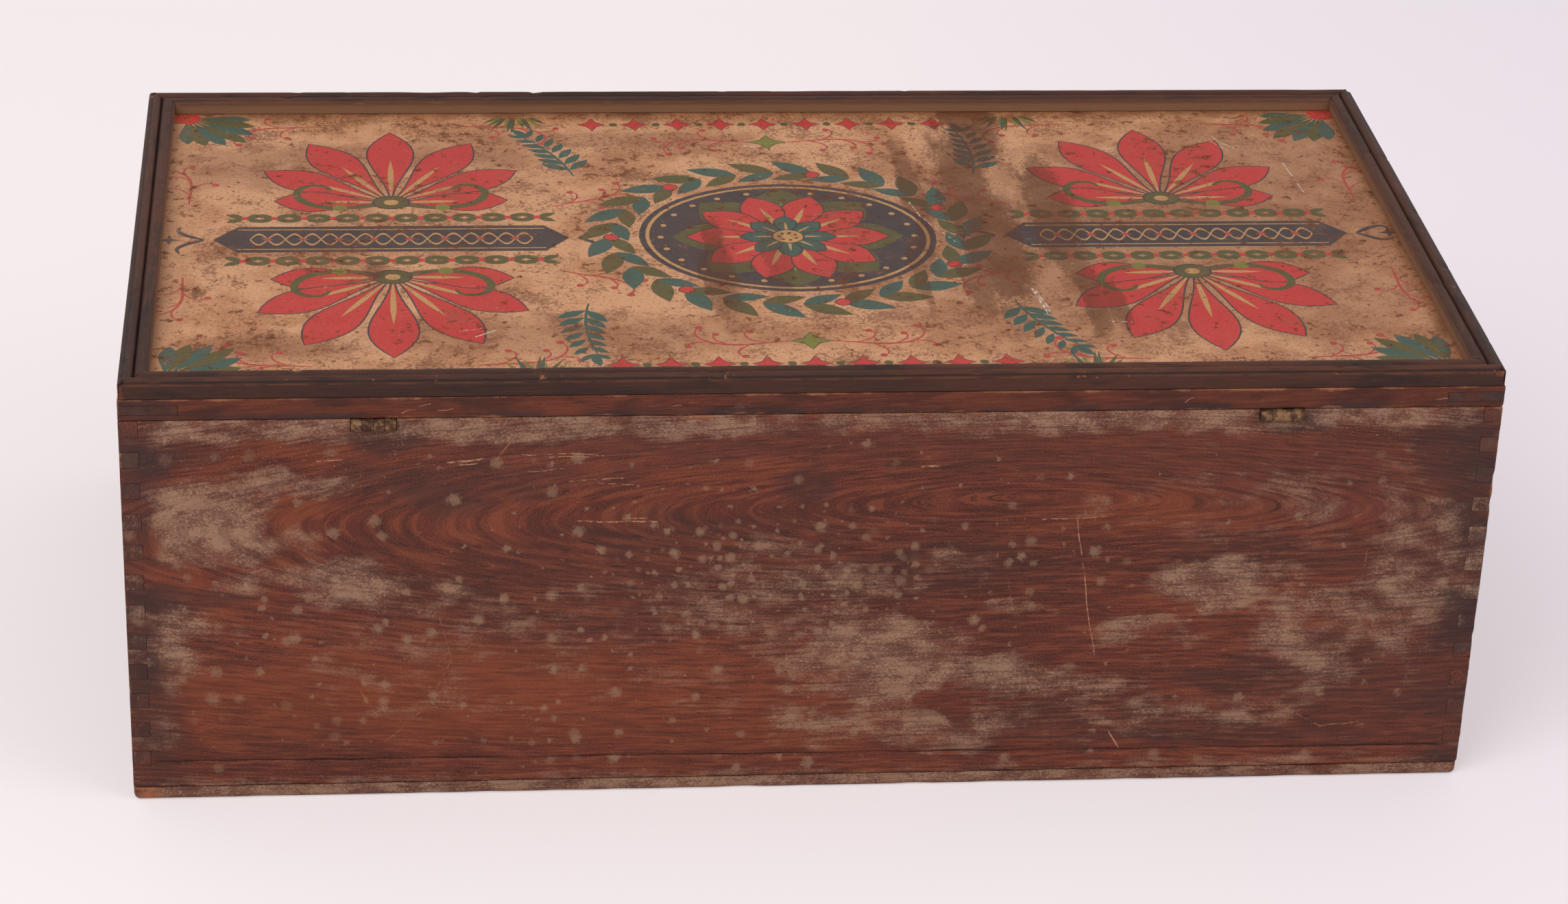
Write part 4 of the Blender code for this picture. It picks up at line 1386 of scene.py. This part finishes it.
# %% [markdown]
# ## From outlines to one sheet
# A constrained Delaunay triangulation splits the sheet along all the outlines at once. Each small
# face then knows which outlines it lies in, and the last of them gives it its ink. The result is
# one closed sheet with crisp edges, which carries the ink as a colour on its face corners. A grid
# of loose points lets the sheet buckle very slightly, as thin tin does.

# %% Make the sheet
SHEET_GRID_MM = 9
BUCKLE = 0.00012


def sheet_points():
    """The sheet's corners, the grid inside it and the points of all outlines, in millimetres."""
    low, high = plate_low / MM, plate_high / MM
    points = [Vector(c) for c in ((low.x, low.y), (high.x, low.y), (high.x, high.y), (low.x, high.y))]
    faces = [[0, 1, 2, 3]]
    for x in steps_between(low.x, high.x, SHEET_GRID_MM):
        for y in steps_between(low.y, high.y, SHEET_GRID_MM):
            points.append(Vector((x, y)))
    for outline, _ink in printed:
        faces.append(list(range(len(points), len(points) + len(outline))))
        points += outline
    return points, faces


def printed_sheet():
    """The tin plate as one closed body, with its inks."""
    points, faces = sheet_points()
    spots, _edges, cells, _v, _e, sources = geometry.delaunay_2d_cdt(points, [], faces, 1, 0.0001)
    shape = bmesh.new()
    ink_layer = shape.loops.layers.float_color.new("ink")
    corners = []
    for spot in spots:
        place = Vector((spot.x * MM, spot.y * MM, plate_high.z))
        edge = min(plate_high.x - abs(place.x), plate_high.y - abs(place.y))
        free = min(1, max(0, edge / 0.02 - 0.4))
        lift = noise.noise(Vector((place.x * 22, place.y * 22, 4))) * free
        place.z += (lift - 0.4) * BUCKLE if edge > 0.008 else 0
        corners.append(shape.verts.new(place))
    for cell, source in zip(cells, sources):
        if 0 not in source:
            continue
        face = shape.faces.new([corners[index] for index in cell])
        top = max(source)
        ink = (*INKS[printed[top - 1][1]], 1) if top else (0, 0, 0, 0)
        for loop in face.loops:
            loop[ink_layer] = ink
    whole = sum(face.calc_area() for face in shape.faces)
    bare = sum(face.calc_area() for face in shape.faces if face.loops[0][ink_layer][3] == 0)
    print(f"{100 * bare / whole:.0f} % of the sheet stays unprinted")
    loose = [corner for corner in corners if not corner.link_faces]
    bmesh.ops.delete(shape, geom=loose, context="VERTS")
    bmesh.ops.recalc_face_normals(shape, faces=shape.faces)
    if sum(face.normal.z for face in shape.faces) < 0:
        bmesh.ops.reverse_faces(shape, faces=shape.faces)
    rim = [edge for edge in shape.edges if edge.is_boundary]
    sides = bmesh.ops.extrude_edge_only(shape, edges=rim)["geom"]
    low_rim = [item for item in sides if isinstance(item, bmesh.types.BMEdge)]
    for item in sides:
        if isinstance(item, bmesh.types.BMVert):
            item.co.z = plate_low.z
    bmesh.ops.contextual_create(shape, geom=low_rim)
    bmesh.ops.recalc_face_normals(shape, faces=shape.faces)
    return shape


# %% [markdown]
# ## Tin that has aged
# The ground has browned from the edges inwards. Rust pricks through as dark specks, water has run
# across the plate and left brown streaks, and the inks are thin where hands have wiped them.

# %% The tin's finish
TIN_TAN = paint(168, 116, 82)
TIN_PALE = paint(190, 140, 104)
TIN_BROWN = paint(120, 76, 50)
RUST_BROWN = paint(104, 60, 38)
RUST_DARK = paint(60, 36, 26)
RUST_STREAK = paint(78, 44, 29)
BARE_TIN = paint(200, 190, 180)
STREAKS = ovals_of([
    (-86, -110, 13, 42, 0.95), (-76, -50, 11, 56, 0.8), (-82, 10, 13, 56, 0.85), (-70, 45, 6, 30, 0.7),
    (-54, -30, 5, 64, 0.65), (-48, 40, 4, 36, 0.6), (-108, -20, 10, 64, 0.75), (-112, 56, 6, 36, 0.75),
    (-122, 64, 5, 20, 0.7), (30, 30, 6, 48, 0.75), (6, 20, 5, 42, 0.45), (-20, 46, 5, 20, 0.45),
    (53, -129, 13, 6, 0.65), (163, 29, 5, 8, 0.6), (230, 48, 3, 5, 0.8),
])
SMUDGES = ovals_of([
    (-150, -20, 110, 60, 0.7), (-110, 30, 70, 70, 0.6), (-210, -60, 50, 50, 0.6),
    (-205, 60, 40, 50, 0.55), (170, -80, 70, 12, 0.55), (70, -98, 50, 8, 0.45), (212, -64, 30, 14, 0.6),
    (190, 10, 30, 6, 0.45), (90, 88, 70, 16, 0.5), (200, 96, 30, 10, 0.5),
])
SCRAPES = lines_of([
    (-52, -33, -54.8, -18, 0.6), (-54.8, -18, -66, 6, 0.35), (-90, 50, -93, 72, 0.7),
    (-91.2, 52, -94, 70, 0.5), (-115, 79, -124, 80, 0.5), (118, 83, 126, 88, 0.6),
    (123, 81, 131, 83, 0.4), (102, -93, 94, -94.5, 0.5), (-189, -98, -196, -85, 0.4),
    (-187, -94, -193, -83, 0.4), (-214, -70, -216, -40, 0.5), (10, -90.1, 5, -89.7, 0.9),
])


def tin_ground(finish, clouds, freckles, ragged, browned):
    """Tan lacquer, freckled all over and browned by damp."""
    crowd = finish.cloud(46, 0, 8.0, 5.0, 0.78)
    near_edge = finish.step(half_depth - moulding_width - abs(finish.y), 0.030, 0.002) * 0.03
    peppered = freckles + (crowd - 0.5) * 0.9 + near_edge
    colour = finish.layered(
        finish.blend(finish.step(clouds, 0.42, 0.58), TIN_PALE, TIN_TAN),
        (crowd, 0.52, 0.61, 0.28, TIN_BROWN),
        (peppered, 0.535, 0.60, 0.62, RUST_BROWN),
        (freckles, 0.48, 0.40, 0.30, TIN_PALE),
    )
    place = finish.point(finish.x, finish.y, 0)
    smudges = patches(finish, place, SMUDGES, ragged * 3.6 + (freckles - 0.5) * 5.0)
    return finish.blend(finish.most(browned * 0.85, smudges * 0.85), colour, TIN_BROWN)


def tin_finish():
    """Printed tin with rust, streaks, scrapes and wiped inks."""
    finish = Finish("printed_tin_worn", 0.10)
    x, y = finish.x, finish.y
    ragged = finish.cloud(80, 0, 1.0, 5.0, 0.66) - 0.5
    runny = finish.noise(finish.point(x * 150, y * 26, 4.0), 4.0, 0.66) - 0.5
    clouds = finish.cloud(26, 0, 2.0, 4.0, 0.6)
    grit = finish.cloud(900, 0, 3.0, 2.0, 0.6)
    freckles = finish.cloud(640, 0, 3.0, 3.0, 0.80)
    edge_x = half_width - moulding_width - abs(x)
    edge_y = half_depth - moulding_width - abs(y)
    edge = finish.maths("MINIMUM", edge_x, edge_y)
    frayed_edge = edge + (clouds - 0.5) * 0.034 + (ragged + freckles - 0.5) * 0.022
    browned = finish.step(frayed_edge, 0.012, -0.004)
    colour = tin_ground(finish, clouds, freckles, ragged, browned)
    pale_side = finish.step(x + ragged * 0.006, half_width - 0.024, half_width - 0.016)
    colour = finish.blend(pale_side * 0.45, colour, TIN_PALE)
    fine = finish.cloud(420, 0, 6.0, 3.0, 0.65)
    wiped = finish.step(fine + ragged * 0.45 + browned * 0.10, 0.62, 0.78)
    held = finish.attribute("ink", "Alpha") * (1 - wiped * 0.6) * (0.93 - browned * 0.2)
    colour = finish.layered(
        finish.blend(held, colour, finish.attribute("ink", "Color")),
        (grit, 0.50, 0.62, 0.20, RUST_DARK),
        (clouds + ragged * 0.9 + (freckles - 0.5) * 0.8, 0.56, 0.72, 0.34, TIN_BROWN),
    )
    runs = finish.point(x + runny * 0.016, y, 0)
    streak = patches(finish, runs, STREAKS, (ragged + runny) * 1.6 + (freckles - 0.5) * 3.2, CRISP_RIM)
    colour = finish.blend(streak * (0.80 + ragged * 0.9), colour, RUST_STREAK)
    rusty = finish.cloud(190, 0, 11.0, 4.0, 0.72)
    rust = finish.step(rusty + (clouds - 0.5) * 0.45 + browned * 0.05, 0.58, 0.64)
    pits = drops(finish, x, y, 0.0085, 0.0012, 5.0)
    rust = finish.most(rust * 0.75, pits * 0.8)
    rust_tone = finish.blend(finish.step(rusty, 0.60, 0.70), RUST_BROWN, RUST_DARK)
    colour = finish.blend(rust, colour, rust_tone)
    place = finish.point(x + runny * 0.004, y + ragged * 0.004, 0)
    scraped = scratches(finish, place, SCRAPES) * finish.step(fine, 0.44, 0.54)
    colour = finish.blend(scraped * 0.85, colour, BARE_TIN)
    roughness = 0.46 + rust * 0.35 + streak * 0.15 - held * 0.06
    return finish.surface(colour, roughness, grit * 0.4 + clouds * 0.6 + rust * 0.3, 0.00010)


keep("label_plate_printed", printed_sheet(), tin_finish(), "lid", "printed_tin", "label_plate")

# %% [markdown]
# ## Hinges, pins and slats
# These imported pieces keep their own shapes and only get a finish. The leaves are brass that has
# gone brown and green, the pins are rusty iron, and the slats and the lid's panel are bare wood.


# %% Brass and iron
BRASS_WORN = paint(138, 104, 74)
BRASS_BROWN = paint(60, 43, 35)
BRASS_GREEN = paint(58, 56, 46)
IRON_BROWN = paint(86, 52, 38)
IRON_DARK = paint(40, 32, 30)


def metal_finish(name, bright, brown, green, shine):
    """Old metal: bright where it is rubbed, brown and green where it isn't."""
    finish = Finish(name)
    clouds = finish.cloud(420, 420, 0, 4.0, 0.65)
    fine = finish.cloud(2200, 2200, 0)
    knuckles = finish.noise(finish.point(finish.x * 190, 1.0, 4.0), 0.0)
    handled = finish.step(finish.x, 0.05, -0.05) * 0.05 + (knuckles - 0.5) * 0.7
    colour = finish.layered(
        finish.blend(finish.step(clouds - handled, 0.34, 0.56), bright, brown),
        (clouds + fine * 0.2, 0.66, 0.78, 0.8, green),
        (fine + clouds * 0.4, 0.66, 0.84, 0.7, IRON_BROWN),
    )
    metallic = shine * (1 - finish.step(clouds, 0.40, 0.66) * 0.8)
    return finish.surface(colour, 0.48 + clouds * 0.3, clouds * 0.6 + fine * 0.4, 0.00012, metallic)


brass = metal_finish("old_brass", BRASS_WORN, BRASS_BROWN, BRASS_GREEN, 0.55)
iron = metal_finish("rusty_iron", IRON_BROWN, IRON_DARK, IRON_BROWN, 0.45)


def coat(node, material):
    """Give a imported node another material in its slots."""
    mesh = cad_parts[node].data
    if not mesh.materials:
        mesh.materials.append(material)
    for turn in range(len(mesh.materials)):
        mesh.materials[turn] = material


for side in ("left", "right"):
    coat(f"{side}_hinge_body_leaf", brass)
    coat(f"{side}_hinge_lid_leaf", brass)
    coat(f"{side}_hinge_pin", iron)


# %% Bare wood inside
def bare_finish(name, axes, seed):
    """Slats and panel: bare wood with handling grime towards the top."""
    finish = Finish(name)
    grain = Grain(finish, axes, seed, pith=(0.05, 0.03), lean=0.10, apex=0.03)
    ragged = finish.cloud(40, 40, seed, 4.0, 0.6) - 0.5
    colour = finish.layered(
        bare_colour(grain),
        (finish.z + ragged * 0.03, divider_top - 0.018, divider_top + 0.002, 0.35, BARE_OLD),
        (ragged + grain.blotches * 0.6, 0.42, 0.62, 0.5, STAIN_WARM),
    )
    return finish.surface(colour, 0.72, grain.fibres * 0.7 - grain.pores * 0.4, 0.00018)


for turn in (1, 2):
    coat(f"long_divider_{turn}", bare_finish(f"long_slat_{turn}", (0, 2, 1), 41.0 + turn))
for turn in (1, 2, 3, 4):
    coat(f"cross_divider_{turn}", bare_finish(f"cross_slat_{turn}", (1, 2, 0), 45.0 + turn))
coat("lid_panel", bare_finish("panel_wood", (0, 1, 2), 51.3))

# %% [markdown]
# ## Fasteners by Geometry Nodes
# Nails and brads follow the rim at even steps, and screws sit where the leaves have their holes.
# Both repeat one small head, so Geometry Nodes place them: one tree runs a head round a
# rectangle, the other drops a slotted screw on given points. Each tree ends in realised, painted
# geometry, which is then kept as a plain mesh.


# %% Trees written as calls
class Tree:
    """A geometry node tree that is laid by short calls."""

    def __init__(self, name, sockets):
        self.group = bpy.data.node_groups.new(name, "GeometryNodeTree")
        face = self.group.interface
        face.new_socket("Geometry", in_out="INPUT", socket_type="NodeSocketGeometry")
        self.names = {}
        for label, kind, value in sockets:
            socket = face.new_socket(label, in_out="INPUT", socket_type="NodeSocket" + kind)
            if value is not None:
                socket.default_value = value
            self.names[label] = socket.identifier
        face.new_socket("Geometry", in_out="OUTPUT", socket_type="NodeSocketGeometry")
        self.start = self.group.nodes.new("NodeGroupInput")
        self.end = self.group.nodes.new("NodeGroupOutput")

    def add(self, kind, settings, inputs, output=0):
        """Lay a node and return one of its output sockets."""
        made = self.group.nodes.new(kind)
        for key, value in settings.items():
            setattr(made, key, value)
        for key, value in inputs.items():
            if isinstance(value, bpy.types.NodeSocket):
                self.group.links.new(value, made.inputs[key])
            else:
                made.inputs[key].default_value = value
        return made.outputs[output]

    def given(self, label):
        """A named input of the tree."""
        return self.start.outputs[label]

    def close(self, shape):
        """End in realised geometry with its finish."""
        plain = self.add("GeometryNodeRealizeInstances", {}, {"Geometry": shape})
        inputs = {"Geometry": plain, "Material": self.given("Finish")}
        painted = self.add("GeometryNodeSetMaterial", {}, inputs)
        self.group.links.new(painted, self.end.inputs[0])


def grow(name, tree, start_mesh, values, body):
    """Run a tree on a start mesh and keep what it makes as one plain piece."""
    piece = bpy.data.objects.new(name + "_start", start_mesh)
    bpy.context.scene.collection.objects.link(piece)
    step = piece.modifiers.new("tree", "NODES")
    step.node_group = tree.group
    for label, value in values.items():
        step[tree.names[label]] = value
    bpy.context.view_layer.update()
    grown = piece.evaluated_get(bpy.context.evaluated_depsgraph_get())
    mesh = bpy.data.meshes.new_from_object(grown)
    bpy.data.objects.remove(piece)
    kept = bpy.data.objects.new(name, mesh)
    bpy.context.scene.collection.objects.link(kept)
    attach(kept, body)
    print(name, len(mesh.polygons), "faces")


# %% A tree that runs heads round a rim
rim_tree = Tree("heads_round_a_rim", [
    ("Rim Length", "Float", 0.5), ("Rim Depth", "Float", 0.25), ("Level", "Float", 0.0),
    ("Count", "Int", 24), ("Foot Radius", "Float", 0.0012), ("Top Radius", "Float", 0.0010),
    ("Head Height", "Float", 0.0006), ("Seed", "Int", 1), ("Finish", "Material", None),
])
given = rim_tree.given
rim_inputs = {"Width": given("Rim Length"), "Height": given("Rim Depth")}
rim = rim_tree.add("GeometryNodeCurvePrimitiveQuadrilateral", {}, rim_inputs)
spots = rim_tree.add("GeometryNodeCurveToPoints", {}, {"Curve": rim, "Count": given("Count")})
rise = rim_tree.add("ShaderNodeCombineXYZ", {}, {"Z": given("Level")})
JITTER = 0.0011
jitter_inputs = {"Min": (-JITTER, 0, 0), "Max": (JITTER, 0, 0), "Seed": given("Seed")}
jitter = rim_tree.add("FunctionNodeRandomValue", {"data_type": "FLOAT_VECTOR"}, jitter_inputs)
moved = rim_tree.add("ShaderNodeVectorMath", {"operation": "ADD"}, {0: rise, 1: jitter})
spots = rim_tree.add("GeometryNodeSetPosition", {}, {"Geometry": spots, "Offset": moved})
head = rim_tree.add("GeometryNodeMeshCone", {}, {
    "Vertices": 14, "Radius Top": given("Top Radius"), "Radius Bottom": given("Foot Radius"),
    "Depth": given("Head Height"),
})
turn_inputs = {"Min": (0, 0, 0), "Max": (0.06, 0.06, 6.2), "Seed": given("Seed")}
turned = rim_tree.add("FunctionNodeRandomValue", {"data_type": "FLOAT_VECTOR"}, turn_inputs)
sized = rim_tree.add("FunctionNodeRandomValue", {}, {2: 0.86, 3: 1.12, "Seed": given("Seed")}, 1)
heads = rim_tree.add("GeometryNodeInstanceOnPoints", {}, {
    "Points": spots, "Instance": head, "Rotation": turned, "Scale": sized,
})
rim_tree.close(heads)

NAIL_INSET = 0.0050
NAIL_RADIUS = 0.0014
BRAD_INSET = moulding_width / 2
BRAD_RADIUS = 0.0005
empty_start = bpy.data.meshes.new("rim_start")
grow("bottom_nails", rim_tree, empty_start, {
    "Rim Length": (half_width - NAIL_INSET) * 2, "Rim Depth": (half_depth - NAIL_INSET) * 2,
    "Level": 0.00008, "Count": 22, "Foot Radius": NAIL_RADIUS * 0.8, "Top Radius": NAIL_RADIUS,
    "Head Height": 0.0009, "Seed": 3, "Finish": iron,
}, "carcass")
grow("moulding_brads", rim_tree, empty_start, {
    "Rim Length": (outer_half_width - BRAD_INSET) * 2,
    "Rim Depth": (outer_half_depth - BRAD_INSET) * 2, "Level": moulding_high.z - 0.0026, "Count": 16, "Foot Radius": BRAD_RADIUS,
    "Top Radius": BRAD_RADIUS * 0.8, "Head Height": 0.0010, "Seed": 8, "Finish": iron,
}, "lid")

# %% A tree that drops slotted screws on points
screw_tree = Tree("slotted_screws", [
    ("Head Radius", "Float", 0.0013), ("Shank Radius", "Float", 0.0006),
    ("Head Depth", "Float", 0.0008), ("Slot Width", "Float", 0.0003), ("Flip", "Float", 0.0),
    ("Seed", "Int", 1), ("Finish", "Material", None),
])
given = screw_tree.given
depth = given("Head Depth")
cone = screw_tree.add("GeometryNodeMeshCone", {}, {
    "Vertices": 18, "Radius Top": given("Head Radius"), "Radius Bottom": given("Shank Radius"),
    "Depth": depth,
})
sunk = screw_tree.add("ShaderNodeMath", {"operation": "MULTIPLY"}, {0: depth, 1: -1})
sinking = screw_tree.add("ShaderNodeCombineXYZ", {}, {"Z": sunk})
cone = screw_tree.add("GeometryNodeTransform", {}, {"Geometry": cone, "Translation": sinking})
slot_inputs = {"X": 0.004, "Y": given("Slot Width"), "Z": depth}
slot_size = screw_tree.add("ShaderNodeCombineXYZ", {}, slot_inputs)
slot_block = screw_tree.add("GeometryNodeMeshCube", {}, {"Size": slot_size})
slotted = screw_tree.add("GeometryNodeMeshBoolean", {}, {0: cone, 1: slot_block})
flip = screw_tree.add("ShaderNodeCombineXYZ", {}, {"X": given("Flip")})
slotted = screw_tree.add("GeometryNodeTransform", {}, {"Geometry": slotted, "Rotation": flip})
turn_inputs = {"Min": (0, 0, 0), "Max": (0, 0, 3.1), "Seed": given("Seed")}
turned = screw_tree.add("FunctionNodeRandomValue", {"data_type": "FLOAT_VECTOR"}, turn_inputs)
screws = screw_tree.add("GeometryNodeInstanceOnPoints", {}, {
    "Points": given("Geometry"), "Instance": slotted, "Rotation": turned,
})
screw_tree.close(screws)

# %% Drop the screws into the leaves
SCREW_OFFSET = 0.0043
SCREW_FROM_LEAF_EDGE = 0.00205
SCREW_SINK = 0.00008


def screw_places(leaf_name, level):
    """The middles of the two screws of every leaf of one kind."""
    places = []
    for side in ("left", "right"):
        low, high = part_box(f"{side}_{leaf_name}")
        middle = (low.x + high.x) / 2
        for end in (-1, 1):
            places.append((middle + end * SCREW_OFFSET, low.y + SCREW_FROM_LEAF_EDGE, level))
    return places


def set_screws(name, leaf_name, level, flip_turn, body, seed):
    """Screws of all leaves that ride on one body."""
    start = bpy.data.meshes.new(name + "_places")
    start.from_pydata(screw_places(leaf_name, level), [], [])
    grow(name, screw_tree, start, {"Flip": flip_turn, "Seed": seed, "Finish": iron}, body)


LEAF_THICKNESS = 0.0009
SCREW_RISE = LEAF_THICKNESS - SCREW_SINK
body_leaf_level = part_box("left_hinge_body_leaf")[0].z + SCREW_RISE
lid_leaf_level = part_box("left_hinge_lid_leaf")[1].z - SCREW_RISE
set_screws("body_leaf_screws", "hinge_body_leaf", body_leaf_level, 0.0, "carcass", 2)
set_screws("lid_leaf_screws", "hinge_lid_leaf", lid_leaf_level, math.pi, "lid", 5)
